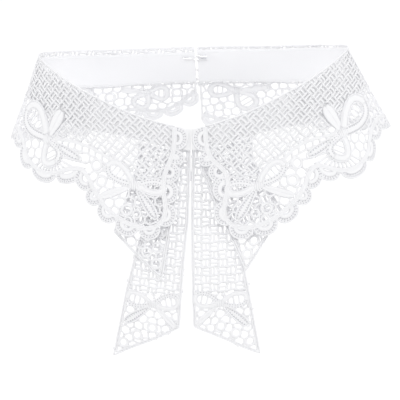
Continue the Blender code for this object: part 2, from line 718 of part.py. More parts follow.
def band_half(half):
    """One half of the plain neck band inside the lace."""
    form = Form(half)
    along = np.linspace(SEAM / 2, form.length - SEAM / 2, int(form.length / CLOSE) + 1)
    start, end = BAND_DROPS_BETWEEN
    back = np.clip((along - start) / (end - start), 0, 1)
    tops = BAND_DROP_FRONT + (BAND_DROP_BACK[half] - BAND_DROP_FRONT) * back
    depths = smooth(*zip(*BAND_DEPTHS), along)
    mesh = bmesh.new()
    loops = []
    for a, top, depth in zip(along, tops, depths):
        down = np.linspace(top, depth, 3)
        outer = form.spot(a, down, -SEAM) * MM
        inner = form.spot(a, down[::-1], -SEAM - BAND_WALL) * MM
        verts = [mesh.verts.new(p) for p in (*outer, *inner)]
        loops.append([mesh.edges.new((verts[i], verts[(i + 1) % 6])) for i in range(6)])
    for before, after in zip(loops, loops[1:]):
        bmesh.ops.bridge_loops(mesh, edges=before + after)
    for ends in (loops[0], loops[-1]):
        bmesh.ops.contextual_create(mesh, geom=ends)
    return finished("band_" + half, mesh)


def inset(corners, by):
    """An outline moved in by a distance, for one that runs anticlockwise."""
    moved = []
    for before, corner, after in zip(np.roll(corners, 1, axis=0), corners,
                                     np.roll(corners, -1, axis=0)):
        come, go = (corner - before), (after - corner)
        come, go = come / np.linalg.norm(come), go / np.linalg.norm(go)
        left = np.array([-come[1] - go[1], come[0] + go[0]])
        left /= np.linalg.norm(left)
        moved.append(corner + left * by / max(0.3, left @ np.array([-come[1], come[0]])))
    return np.array(moved)


def divided(corners, step):
    """The points of an outline, with each side parted into nearly equal steps."""
    points = []
    for corner, after in zip(corners, np.roll(corners, -1, axis=0)):
        parts = max(1, int(round(np.linalg.norm(after - corner) / step)))
        points += [corner + (after - corner) * k / parts for k in range(parts)]
    return np.array(points)


def tail(name, hang):
    """One tail: a net strip with an edge cord, a slanted end with rings and perhaps a bow."""
    form = TailForm(hang)
    corners = np.array([(c.across, -c.down) for c in hang.cut])
    outline = divided(corners, WIDE)
    strokes = [Stroke(divided(inset(corners, TAIL_EDGE / 2 + 0.2), WIDE), TAIL_EDGE / 2,
                      TAIL_EDGE_RISE, closed=True)]
    if hang.bow:
        origin = np.array([hang.bow.along, -hang.bow.down])
        strokes += bow_strokes(hang.bow, origin, np.array([1.0, 0.0]), np.array([0.0, -1.0]))
    rings = [np.array([a, -d]) for a, d in hang.rings]
    holes = [ring_points(c, RING_HOLE, 8) for c in rings]
    lines = []
    for stroke in strokes[1:]:
        lines += [stroke.points, *stroke.sides()]
    rail = strokes[0].points
    lines.append(np.vstack([rail, rail[:1]]))
    ring_strokes = [Stroke(ring_points(c, (RING_OUTER + RING_HOLE) / 2, 8),
                           (RING_OUTER - RING_HOLE) / 2, RING_RISE, closed=True) for c in rings]
    wide, deep = corners[:, 0].max(), -corners[:, 1].min()
    across, down = np.meshgrid(np.arange(4.0, wide, ROW_STEP), np.arange(-7.0, deep, WIDE))
    grid = np.stack([across.ravel(), -down.ravel()], axis=1)
    grid = grid[inside(outline, grid)]
    grid = grid[outline_distance(outline, grid) > 4.0]
    for hole in holes:
        grid = grid[outline_distance(hole, grid) > 2.0]
        grid = grid[~inside(hole, grid)]
    open_grid = grid
    for stroke in strokes:
        away, width = stroke.near(open_grid)
        open_grid = open_grid[away > width + 1.0]

    def relief(flat):
        rise = np.zeros(len(flat))
        for stroke in strokes + ring_strokes:
            rise = np.maximum(rise, stroke.height(flat))
        return TAIL_WALL + rise

    def plain(flat):
        return np.zeros(len(flat))

    return wall(name, outline, holes, lines, open_grid, grid, relief, plain, form.lay)


def wire(name, points, radius=WIRE):
    """A bent wire as a tube with closed ends."""
    curve = bpy.data.curves.new(name, "CURVE")
    curve.dimensions = "3D"
    curve.bevel_depth = radius * MM
    curve.bevel_resolution = 1
    curve.use_fill_caps = True
    spline = curve.splines.new("POLY")
    spline.points.add(len(points) - 1)
    for slot, point in zip(spline.points, points):
        slot.co = (*(np.asarray(point) * MM), 1.0)
    obj = bpy.data.objects.new(name, curve)
    bpy.context.scene.collection.objects.link(obj)
    return obj


def closure():
    """The eye on the right band and the hook on the left one, hooked together."""
    right, left = Form("right"), Form("left")
    rest = -SEAM * 2 - BAND_WALL - WIRE
    end = right.length
    eye = []
    for turn in np.linspace(-EYE_TURN, EYE_TURN, 13):
        along = end - EYE_AT + EYE_RADIUS * math.cos(turn)
        down = HOOK_DOWN + EYE_RADIUS * math.sin(turn)
        past = max(along - end, 0.0)
        point = right.spot(min(along, end), down, rest)
        eye.append(point + [-past, 0, 0])
    eye = [right.spot(end - EYE_LENGTH, HOOK_DOWN - EYE_LEGS, rest)] + eye
    eye = eye + [right.spot(end - EYE_LENGTH, HOOK_DOWN + EYE_LEGS, rest)]
    hook_at = end - HOOK_AT
    lift = rest - 2 * WIRE - SEAM
    shank = left.spot(hook_at - HOOK_LENGTH, HOOK_DOWN, rest)
    rise = left.spot(hook_at - HOOK_RISES, HOOK_DOWN, rest)
    over = left.spot(hook_at, HOOK_DOWN, lift)
    tip = right.spot(end - HOOK_PAST, HOOK_DOWN, lift)
    return [wire("eye", eye), wire("hook", [shank, rise, over, tip])]


def material(name, colour, roughness, metallic=0.0):
    made = bpy.data.materials.new(name)
    made.use_nodes = True
    shader = made.node_tree.nodes["Principled BSDF"]
    shader.inputs["Base Color"].default_value = (*colour, 1.0)
    shader.inputs["Roughness"].default_value = roughness
    shader.inputs["Metallic"].default_value = metallic
    return made


def main():
    for obj in list(bpy.data.objects):
        bpy.data.objects.remove(obj)
    lace = material("lace_thread", (0.86, 0.87, 0.90), 0.75)
    cloth = material("band_cloth", (0.88, 0.88, 0.92), 0.8)
    steel = material("closure_wire", (0.62, 0.63, 0.65), 0.35, 1.0)
    pieces = [(lace_half(half), lace) for half in ("left", "right")]
    pieces += [(band_half(half), cloth) for half in ("left", "right")]
    pieces += [(tail(name, hang), lace) for name, hang in TAILS.items()]
    pieces += [(obj, steel) for obj in closure()]
    for obj, finish in pieces:
        obj.data.materials.append(finish)


main()
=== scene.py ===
"""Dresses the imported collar: two halves of guipure lace, a neck band, four lace tails and a hook.

Every lace piece is drawn as cords on its flat cut, in millimetres, and then laid on the hollow
form that the collar keeps when it is worn. A flat point becomes a distance along the neck edge
and a distance below it, and these give the place in space.
"""

import logging
import math
import random
from collections.abc import Callable, Sequence
from dataclasses import dataclass, field
from enum import Enum

import bmesh
import bpy
import numpy as np
from mathutils import Matrix, Vector

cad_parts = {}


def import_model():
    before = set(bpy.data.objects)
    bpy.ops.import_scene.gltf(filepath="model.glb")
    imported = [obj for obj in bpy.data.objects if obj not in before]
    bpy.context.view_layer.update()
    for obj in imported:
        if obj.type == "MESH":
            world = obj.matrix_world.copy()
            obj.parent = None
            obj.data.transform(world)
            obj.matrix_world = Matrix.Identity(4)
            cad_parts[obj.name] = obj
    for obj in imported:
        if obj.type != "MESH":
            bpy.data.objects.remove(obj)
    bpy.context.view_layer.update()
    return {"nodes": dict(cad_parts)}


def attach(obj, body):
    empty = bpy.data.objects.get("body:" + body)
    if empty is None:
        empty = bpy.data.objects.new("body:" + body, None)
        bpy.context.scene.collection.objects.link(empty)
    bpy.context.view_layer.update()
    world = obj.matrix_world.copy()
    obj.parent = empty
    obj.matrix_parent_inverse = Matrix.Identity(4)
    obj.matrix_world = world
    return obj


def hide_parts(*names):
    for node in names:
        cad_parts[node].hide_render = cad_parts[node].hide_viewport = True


Array = np.ndarray
Lay = Callable[[Array, Array], Array]
Colour = tuple[float, float, float]
Piece, Finish = bpy.types.Object, bpy.types.Material
Mesh, Socket = bpy.types.Mesh, bpy.types.NodeSocket

LOG = logging.getLogger("collar")
MM = 0.001
TURN = 2 * math.pi
CORD_STEP, BAR_STEP, BRIDE_FOOT = 1.1, 0.9, 0.65


class Half(Enum):
    """The halves of the collar, as seen in the picture."""

    LEFT = "left"
    RIGHT = "right"

    @property
    def sign(self) -> float:
        """The side of the middle that the half lies on."""
        return 1.0 if self is Half.RIGHT else -1.0


@dataclass(frozen=True)
class Station:
    """A place on the neck edge, and how the lace falls away from it there."""

    x: float
    y: float
    z: float
    heading: float
    slope_left: float
    slope_right: float


@dataclass(frozen=True)
class Knot:
    """A place on the border cord. At a cusp, two lobes meet high up."""

    along: float
    down: float
    cusp: bool = False


class PetalKind(Enum):
    """What a petal of a bow is."""

    LOOP = "loop"
    SATIN = "satin"
    LADDER = "ladder"


@dataclass(frozen=True)
class Petal:
    """A loop or a leaf of a bow, at an angle from the way to the side seam towards the hem."""

    kind: PetalKind
    angle: float
    length: float
    width: float
    band: float = 4.2


@dataclass(frozen=True)
class Bow:
    """A bow motif: the place of its knot and its petals."""

    along: float
    down: float
    petals: tuple[Petal, ...]


@dataclass(frozen=True)
class Cut:
    """A corner of a tail's cut."""

    across: float
    down: float


NECK = (
    Station(0.0, -50.0, -31.0, 0.0, 68.0, 68.0),
    Station(24.0, -46.0, -27.0, 12.0, 68.0, 68.0),
    Station(56.0, -35.0, -16.0, 28.0, 68.0, 67.0),
    Station(82.0, -15.0, -6.0, 58.0, 69.0, 66.0),
    Station(94.5, 4.0, 0.0, 90.0, 69.0, 65.0),
    Station(84.0, 24.0, -4.4, 135.0, 70.0, 67.0),
    Station(52.0, 37.0, -8.0, 163.0, 72.0, 71.0),
    Station(0.0, 42.0, -9.0, 180.0, 72.0, 72.0),
)
BORDER_FRONT = {
    Half.LEFT: (
        Knot(9.7, 1.0), Knot(9.7, 8.5), Knot(10.0, 15.0), Knot(11.5, 20.5), Knot(13.8, 26.5),
        Knot(15.8, 38.5), Knot(13.6, 50.5), Knot(15.4, 59.5), Knot(22.5, 65.0), Knot(33.5, 65.2),
        Knot(44.0, 61.8), Knot(53.4, 54.5), Knot(58.5, 47.8), Knot(63.5, 44.6, True),
        Knot(70.0, 48.0), Knot(78.0, 55.0), Knot(88.0, 59.0), Knot(98.0, 56.0), Knot(105.0, 49.0),
        Knot(111.5, 45.8, True),
    ),
    Half.RIGHT: (
        Knot(8.5, 1.0), Knot(8.5, 10.5), Knot(10.2, 19.5), Knot(14.5, 25.5), Knot(18.8, 31.0),
        Knot(19.8, 37.0), Knot(17.2, 47.0), Knot(15.9, 54.5), Knot(17.8, 61.0), Knot(24.0, 66.0),
        Knot(33.5, 68.0), Knot(45.0, 66.5), Knot(53.5, 63.0), Knot(61.0, 56.0), Knot(64.6, 50.3),
        Knot(68.5, 48.2, True), Knot(74.0, 52.8), Knot(80.5, 58.8), Knot(89.0, 62.2),
        Knot(97.0, 59.0), Knot(103.5, 51.0), Knot(110.5, 46.4, True),
    ),
}
BORDER_SIDE = (
    Knot(118.0, 49.0), Knot(130.0, 58.5), Knot(150.0, 62.0), Knot(168.0, 60.0),
    Knot(178.0, 52.5), Knot(184.0, 48.5, True),
)
BORDER_BACK = {
    Half.LEFT: (Knot(191.0, 48.5), Knot(205.0, 50.0), Knot(218.0, 45.0), Knot(227.5, 35.0)),
    Half.RIGHT: (Knot(190.0, 50.5), Knot(203.0, 57.5), Knot(216.0, 59.0), Knot(227.5, 53.0)),
}
INNER_CORD = {
    Half.LEFT: ((45.0, 33.0), (52.0, 31.0), (60.5, 30.3), (71.0, 31.6), (84.0, 36.5)),
    Half.RIGHT: ((50.0, 38.0), (57.5, 33.8), (64.5, 32.7), (73.0, 34.0), (84.0, 37.8)),
}
MOTIF_TOP_FRONT = {
    Half.LEFT: ((14.5, 30.0), (19.0, 34.0), (30.0, 36.0), (37.0, 31.5), (45.0, 30.5)),
    Half.RIGHT: ((20.0, 33.0), (24.0, 36.5), (34.0, 38.0), (40.5, 33.8), (50.0, 34.0)),
}
MOTIF_TOP = (
    (62.0, 30.8), (74.0, 31.6), (89.0, 33.0), (100.0, 25.0), (114.0, 27.0), (130.0, 30.0),
    (150.0, 31.0), (172.0, 30.0), (205.0, 29.0), (230.0, 29.0),
)
LOOP, SATIN, LADDER = PetalKind.LOOP, PetalKind.SATIN, PetalKind.LADDER
WING_INNER = (Petal(LOOP, -34, 21, 10), Petal(LOOP, 179, 18.5, 8),
              Petal(SATIN, 22, 23, 5.5), Petal(LADDER, 128, 24, 6.5))
WING_OUTER = (Petal(LOOP, -30, 28, 16, 6.0), Petal(SATIN, -106, 20, 9.5),
              Petal(LOOP, 128, 16.5, 14, 5.2), Petal(LADDER, 170, 29, 6.2))
BOWS_FRONT = {
    Half.LEFT: (Bow(31.3, 41.7, WING_INNER), Bow(88.3, 38.9, WING_OUTER)),
    Half.RIGHT: (Bow(35.2, 44.9, WING_INNER), Bow(88.3, 39.9, WING_OUTER)),
}
BOW_SIDE = Bow(148.0, 40.0, (Petal(LOOP, -12, 22, 12), Petal(SATIN, -72, 16, 6),
                             Petal(LOOP, 78, 17, 14), Petal(LOOP, 198, 22, 11)))
BOW_BACK = {
    Half.LEFT: Bow(199.0, 35.0, (Petal(LOOP, 4, 13, 11), Petal(LOOP, 122, 13.5, 11),
                                 Petal(SATIN, 192, 18, 5))),
    Half.RIGHT: Bow(207.0, 35.5, (Petal(LOOP, -6, 17, 11), Petal(LOOP, 128, 17, 14),
                                  Petal(LADDER, 188, 22, 5))),
}
RINGS_BOTH = ((114.5, 37.0), (121.5, 43.5), (176.5, 37.5), (171.5, 46.5))
RINGS = {
    Half.LEFT: ((54.9, 38.5), (50.8, 46.6), (34.7, 57.5), (217.0, 36.0)),
    Half.RIGHT: ((59.0, 42.1), (54.9, 50.4), (38.7, 60.0), (218.0, 48.5)),
}
SMALL_RINGS = {Half.LEFT: ((29.1, 58.0), (33.7, 63.8)), Half.RIGHT: ((32.3, 60.0), (37.2, 65.6))}

LONG_LEFT_CUT = (Cut(0.7, -11.4), Cut(-0.2, 0.0), Cut(-1.5, 32.0), Cut(-0.6, 65.0),
                 Cut(-0.7, 99.0), Cut(39.6, 125.4), Cut(33.6, 79.0), Cut(28.5, 50.0),
                 Cut(15.0, 0.0), Cut(12.4, -10.3))
LONG_RIGHT_CUT = (Cut(-0.7, -11.4), Cut(-0.9, 0.0), Cut(-1.5, 36.0), Cut(-1.0, 80.0),
                  Cut(-0.4, 97.7), Cut(40.0, 118.5), Cut(33.0, 74.0), Cut(28.5, 50.0),
                  Cut(15.0, 0.0), Cut(12.4, -11.6))
SHORT_LEFT_CUT = (Cut(2.2, -11.8), Cut(0.0, 0.0), Cut(0.0, 67.5), Cut(34.0, 45.5),
                  Cut(26.4, 1.0), Cut(27.6, -12.5))
SHORT_RIGHT_CUT = (Cut(4.5, -11.1), Cut(0.0, 0.0), Cut(0.0, 67.5), Cut(34.0, 45.5),
                   Cut(30.5, 8.0), Cut(35.6, -5.6))
LONG_PETALS = (Petal(LOOP, -7, 16.3, 8.8, 3.2), Petal(LOOP, 194, 15.6, 8.8, 3.2),
               Petal(LADDER, 43, 23.5, 6), Petal(SATIN, 137, 20, 4.2))
LONG_LEFT_BOW = Bow(16.5, 85.5, LONG_PETALS)
LONG_RIGHT_BOW = Bow(15.8, 82.7, LONG_PETALS)
LONG_LEFT_RINGS = ((16.0, 100.9), (25.2, 107.7), (33.3, 114.5))
LONG_RIGHT_RINGS = ((16.2, 97.6), (25.1, 102.8), (33.5, 108.6))
SHORT_RINGS = ((12.0, 52.0), (5.2, 57.4))


def smooth(knots: Sequence[float], values: Sequence[float], at: Array) -> Array:
    """Reads a smooth curve through values at knots.

    Args:
        knots: Rising places.
        values: The value at each of them.
        at: Where the curve is read.

    Returns:
        The values there.
    """
    knots, values = np.asarray(knots, float), np.asarray(values, float)
    steps = np.diff(knots)
    runs = np.diff(values) / steps
    slopes = np.empty(len(knots))
    slopes[0], slopes[-1] = runs[0], runs[-1]
    slopes[1:-1] = (runs[:-1] * steps[1:] + runs[1:] * steps[:-1]) / (steps[:-1] + steps[1:])
    i = np.clip(np.searchsorted(knots, at, side="right") - 1, 0, len(knots) - 2)
    h = steps[i]
    t = (np.asarray(at, float) - knots[i]) / h
    return ((2 * t**3 - 3 * t**2 + 1) * values[i] + (t**3 - 2 * t**2 + t) * h * slopes[i]
            + (3 * t**2 - 2 * t**3) * values[i + 1] + (t**3 - t**2) * h * slopes[i + 1])


def rows_at(at: float | Array, knots: Array, rows: Array) -> Array:
    """Reads rows of numbers between rising knots, each column on its own."""
    return np.stack([np.interp(at, knots, column) for column in rows.T], axis=-1)


def lengths(points: Array) -> Array:
    """The distance along a line of points at each of them."""
    return np.r_[0.0, np.cumsum(np.linalg.norm(np.diff(points, axis=0), axis=1))]


def cross(a: Array, b: Array) -> Array:
    """The flat cross product."""
    return a[..., 0] * b[..., 1] - a[..., 1] * b[..., 0]


def even(line: Array, step: float, closed: bool = False) -> Array:
    """Puts points at nearly equal steps along a line.

    Args:
        line: The line's points.
        step: The wanted step.
        closed: Whether the line runs back to its first point.

    Returns:
        The new points, without the first one again if closed.
    """
    line = np.asarray(line, float)
    if closed:
        line = np.vstack([line, line[:1]])
    at = lengths(line)
    count = max(2, int(round(at[-1] / step)) + 1)
    points = rows_at(np.linspace(0.0, at[-1], count), at, line)
    return points[:-1] if closed else points


def aside(line: Array, by: float | Array, closed: bool = False) -> Array:
    """Moves a line to its left by a distance.

    Args:
        line: The line's points.
        by: The distance, one for all or one a point. A negative one moves it to the right.
        closed: Whether the line runs back to its first point.

    Returns:
        The moved points.
    """
    run = np.roll(line, -1, axis=0) - np.roll(line, 1, axis=0) if closed else np.gradient(line, axis=0)
    run = run / np.maximum(np.linalg.norm(run, axis=1, keepdims=True), 1e-9)
    return line + np.stack([-run[:, 1], run[:, 0]], axis=1) * np.broadcast_to(by, len(line))[:, None]


def swollen(line: Array, middle: float, ends: float, over: float = 1.6) -> Array:
    """The width of a cord that grows towards both its ends.

    Args:
        line: The cord's points.
        middle: The width along the middle.
        ends: The width at the ends.
        over: The length over which it grows.

    Returns:
        The width at each point.
    """
    at = lengths(line)
    near = np.clip(1 - np.minimum(at, at[-1] - at) / over, 0, 1)
    return middle + (ends - middle) * near**2


def ring_points(centre: Array, radius: float, count: int) -> Array:
    """Points on a circle."""
    angle = np.arange(count) / count * TURN
    return centre + radius * np.stack([np.cos(angle), np.sin(angle)], axis=1)


def inside(polygon: Array, places: Array) -> Array:
    """Whether each place lies within a closed outline."""
    x, y = places[:, 0][:, None], places[:, 1][:, None]
    ax, ay = polygon[:, 0], polygon[:, 1]
    bx, by = np.roll(ax, -1), np.roll(ay, -1)
    spans = (ay > y) != (by > y)
    with np.errstate(divide="ignore", invalid="ignore"):
        meets = x < (bx - ax) * (y - ay) / (by - ay) + ax
    return (spans & meets).sum(axis=1) % 2 == 1


def flat_area(polygon: Array) -> float:
    """The area within a closed outline."""
    return abs(cross(polygon, np.roll(polygon, -1, axis=0)).sum()) / 2


class Form:
    """One half of the hollow form that the lace lies on, and its flat cut."""

    step: float = 1.0
    fall_length: float = 60.0
    chunk: int = 20000

    def __init__(self, half: Half) -> None:
        """Works out the neck edge, the fall from it and the flat cut."""
        self.sign = half.sign
        rows = np.array([(s.x, s.y, s.z, s.heading, getattr(s, "slope_" + half.value))
                         for s in NECK])
        mirrored = rows * [-1, 1, 1, -1, 1]
        rows = np.vstack([mirrored[1], rows, mirrored[-2] + [0, 0, 0, 360, 0]])
        knots = lengths(rows[:, :3])
        fine = np.linspace(knots[1], knots[-2], 1500)
        curve = np.stack([smooth(knots, rows[:, k], fine) for k in range(5)], axis=1)
        arc = lengths(curve[:, :3])
        self.length = float(arc[-1])
        self.along = np.linspace(0.0, self.length, int(self.length / self.step) + 1)
        level = rows_at(self.along, arc, curve)
        self.edge = level[:, :3]
        heading, slope = np.radians(level[:, 3]), np.radians(level[:, 4])
        self.fall = np.stack([np.sin(heading) * np.cos(slope), -np.cos(heading) * np.cos(slope),
                              -np.sin(slope)], axis=1)
        self.unroll()

    def unroll(self) -> None:
        """Lays the ruled strip flat, one narrow quad after the other."""
        low = self.edge + self.fall_length * self.fall
        top, bottom = [np.zeros(2)], [np.array([0.0, -self.fall_length])]
        for i in range(len(self.along) - 1):
            across = np.linalg.norm(self.edge[i + 1] - self.edge[i])
            slant = np.linalg.norm(self.edge[i + 1] - low[i])
            hem = np.linalg.norm(low[i + 1] - low[i])
            top.append(self.third_corner(top[-1], bottom[-1], across, slant))
            bottom.append(self.third_corner(top[-1], bottom[-1], self.fall_length, hem))
        self.flat_edge = np.array(top)
        self.flat_fall = (np.array(bottom) - self.flat_edge) / self.fall_length

    @staticmethod
    def third_corner(a: Array, b: Array, from_a: float, from_b: float) -> Array:
        """The corner of a triangle to the left of the line from b to a.

        Args:
            a: The first corner.
            b: The second corner.
            from_a: The third corner's distance from the first.
            from_b: Its distance from the second.

        Returns:
            The third corner.
        """
        gap = np.linalg.norm(b - a)
        unit = (b - a) / gap
        reach = (from_a**2 - from_b**2 + gap**2) / (2 * gap)
        height = math.sqrt(max(from_a**2 - reach**2, 0.0))
        return a + reach * unit + height * np.array([-unit[1], unit[0]])

    def flat(self, along: float | Array, down: float | Array) -> Array:
        """The flat point at a distance along the neck edge and below it."""
        fall = rows_at(along, self.along, self.flat_fall)
        return rows_at(along, self.along, self.flat_edge) + np.asarray(down)[..., None] * fall

    def flat_axes(self, along: float) -> tuple[Array, Array]:
        """The flat directions to the side and to the hem at a distance along the neck edge."""
        fall = rows_at(along, self.along, self.flat_fall)
        fall /= np.linalg.norm(fall)
        return np.array([-fall[1], fall[0]]), fall

    def measure(self, flat: Array) -> tuple[Array, Array]:
        """The distances along the neck edge and below it of flat points."""
        beyond = cross(self.flat_fall[None], flat[:, None] - self.flat_edge[None])
        i = np.clip((beyond > 0).sum(axis=1) - 1, 0, len(self.along) - 2)
        row = np.arange(len(flat))
        first, second = beyond[row, i], beyond[row, i + 1]
        t = first / (first - second)
        along = self.along[i] + t * (self.along[i + 1] - self.along[i])
        edge = self.flat_edge[i] + t[:, None] * (self.flat_edge[i + 1] - self.flat_edge[i])
        fall = self.flat_fall[i] + t[:, None] * (self.flat_fall[i + 1] - self.flat_fall[i])
        return along, ((flat - edge) * fall).sum(axis=1) / (fall**2).sum(axis=1)

    def spot(self, along: float | Array, down: float | Array, lift: float | Array) -> Array:
        """The place in space, with lift measured outwards from the form."""
        along, down, lift = np.broadcast_arrays(along, down, lift)

        def at(a: Array) -> tuple[Array, Array]:
            fall = rows_at(a, self.along, self.fall)
            return rows_at(a, self.along, self.edge) + down[..., None] * fall, fall

        place, fall = at(along)
        side = at(along + 1.5)[0] - at(along - 1.5)[0]
        out = np.cross(side, -fall)
        out /= np.linalg.norm(out, axis=-1, keepdims=True)
        return (place + lift[..., None] * out) * [self.sign, 1, 1]

    def plain(self, places: Array, lift: Array) -> Array:
        """Lays points that are given by their distances along the neck edge and below it."""
        return self.spot(places[:, 0], places[:, 1], lift)

    def lay(self, flat: Array, lift: Array) -> Array:
        """Lays flat points on the form, in gentle waves as soft lace hangs."""
        places = []
        for first in range(0, len(flat), self.chunk):
            part = flat[first:first + self.chunk]
            along, down = self.measure(part)
            sway = np.clip(down / self.fall_length, 0.0, 1.2) ** 1.5
            wave = sway * (0.9 + 0.55 * np.sin(along * 0.21 + self.sign) + 0.35 * np.sin(along * 0.47))
            places.append(self.spot(along, down, lift[first:first + self.chunk] + wave))
        return np.vstack(places)


@dataclass(frozen=True)
class Tail:
    """How one tail hangs from the band at the centre front."""

    name: str
    side: float
    cut: tuple[Cut, ...]
    across: float
    down: float
    lean: float
    depth: float
    rings: tuple[tuple[float, float], ...]
    bow: Bow | None
    net_ends: float
    wall: float = 1.0
    first_slope: float = 68.0
    last_slope: float = 88.0
    turns_at: tuple[float, float] = (60.0, 130.0)
    rounding: float = 0.0042

    def corners(self) -> Array:
        """The corners of the cut."""
        return np.array([(c.across, -c.down) for c in self.cut])

    def lay(self, flat: Array, lift: Array) -> Array:
        """Places points of the cut on the hanging surface."""
        lean = math.radians(self.lean)
        across = self.across + flat[:, 0] * math.cos(lean) - flat[:, 1] * math.sin(lean)
        down = self.down - flat[:, 0] * math.sin(lean) - flat[:, 1] * math.cos(lean)
        depths = np.arange(0.0, 170.0, 0.5)
        start, end = self.turns_at
        turn = np.clip((depths - start) / (end - start), 0, 1)
        turn = turn**2 * (3 - 2 * turn)
        slopes = np.radians(self.first_slope + (self.last_slope - self.first_slope) * turn)
        y = NECK[0].y - np.cumsum(np.r_[0.0, np.cos(slopes[1:])]) * depths[1]
        z = NECK[0].z - np.cumsum(np.r_[0.0, np.sin(slopes[1:])]) * depths[1]
        sway = np.clip((down - 60.0) / 80.0, 0.0, 1.0)
        out = lift - self.depth - self.wall
        out = out + sway * 0.9 * np.sin(across * 0.16 + down * 0.05 + 2.0 * self.side)
        slope = np.interp(down, depths, slopes)
        y = np.interp(down, depths, y) + self.rounding * across**2 - out * np.sin(slope)
        z = np.interp(down, depths, z) + out * np.cos(slope)
        return np.stack([across * self.side, y, z], axis=1)


TAILS = (
    Tail("tail_long_left", -1.0, LONG_LEFT_CUT, 1.0, 24.0, 5.4, 2.9, LONG_LEFT_RINGS,
         LONG_LEFT_BOW, 79.0),
    Tail("tail_long_right", 1.0, LONG_RIGHT_CUT, 0.6, 24.0, -1.0, 2.9, LONG_RIGHT_RINGS,
         LONG_RIGHT_BOW, 77.0),
    Tail("tail_short_left", -1.0, SHORT_LEFT_CUT, 7.0, 26.6, 10.5, 1.0, SHORT_RINGS, None, 40.0),
    Tail("tail_short_right", 1.0, SHORT_RIGHT_CUT, 5.5, 26.6, 22.0, 1.0, SHORT_RINGS, None, 40.0),
)


@dataclass
class Stroke:
    """A wide line of the lace that other cords end on."""

    line: Array
    half: float | Array
    closed: bool = False

    def room(self, places: Array) -> Array:
        """The distance of each place from the stroke's edge, negative within it."""
        line = self.line
        half = np.broadcast_to(np.asarray(self.half, float), len(line))
        if self.closed:
            line, half = np.vstack([line, line[:1]]), np.r_[half, half[:1]]
        start, run = line[:-1], np.diff(line, axis=0)
        t = ((places[:, None] - start) * run).sum(axis=2) / (run**2).sum(axis=1)
        t = np.clip(t, 0, 1)
        away = np.linalg.norm(places[:, None] - start - t[..., None] * run, axis=2)
        best = away.argmin(axis=1)
        row = np.arange(len(places))
        t = t[row, best]
        return away[row, best] - (half[best] * (1 - t) + half[best + 1] * t)


@dataclass
class Cord:
    """A round or flattened cord on the flat cut, with the height of its middle."""

    line: Array
    width: float | Array
    thick: float
    lift: float | Array
    closed: bool = False
    pits: bool = False


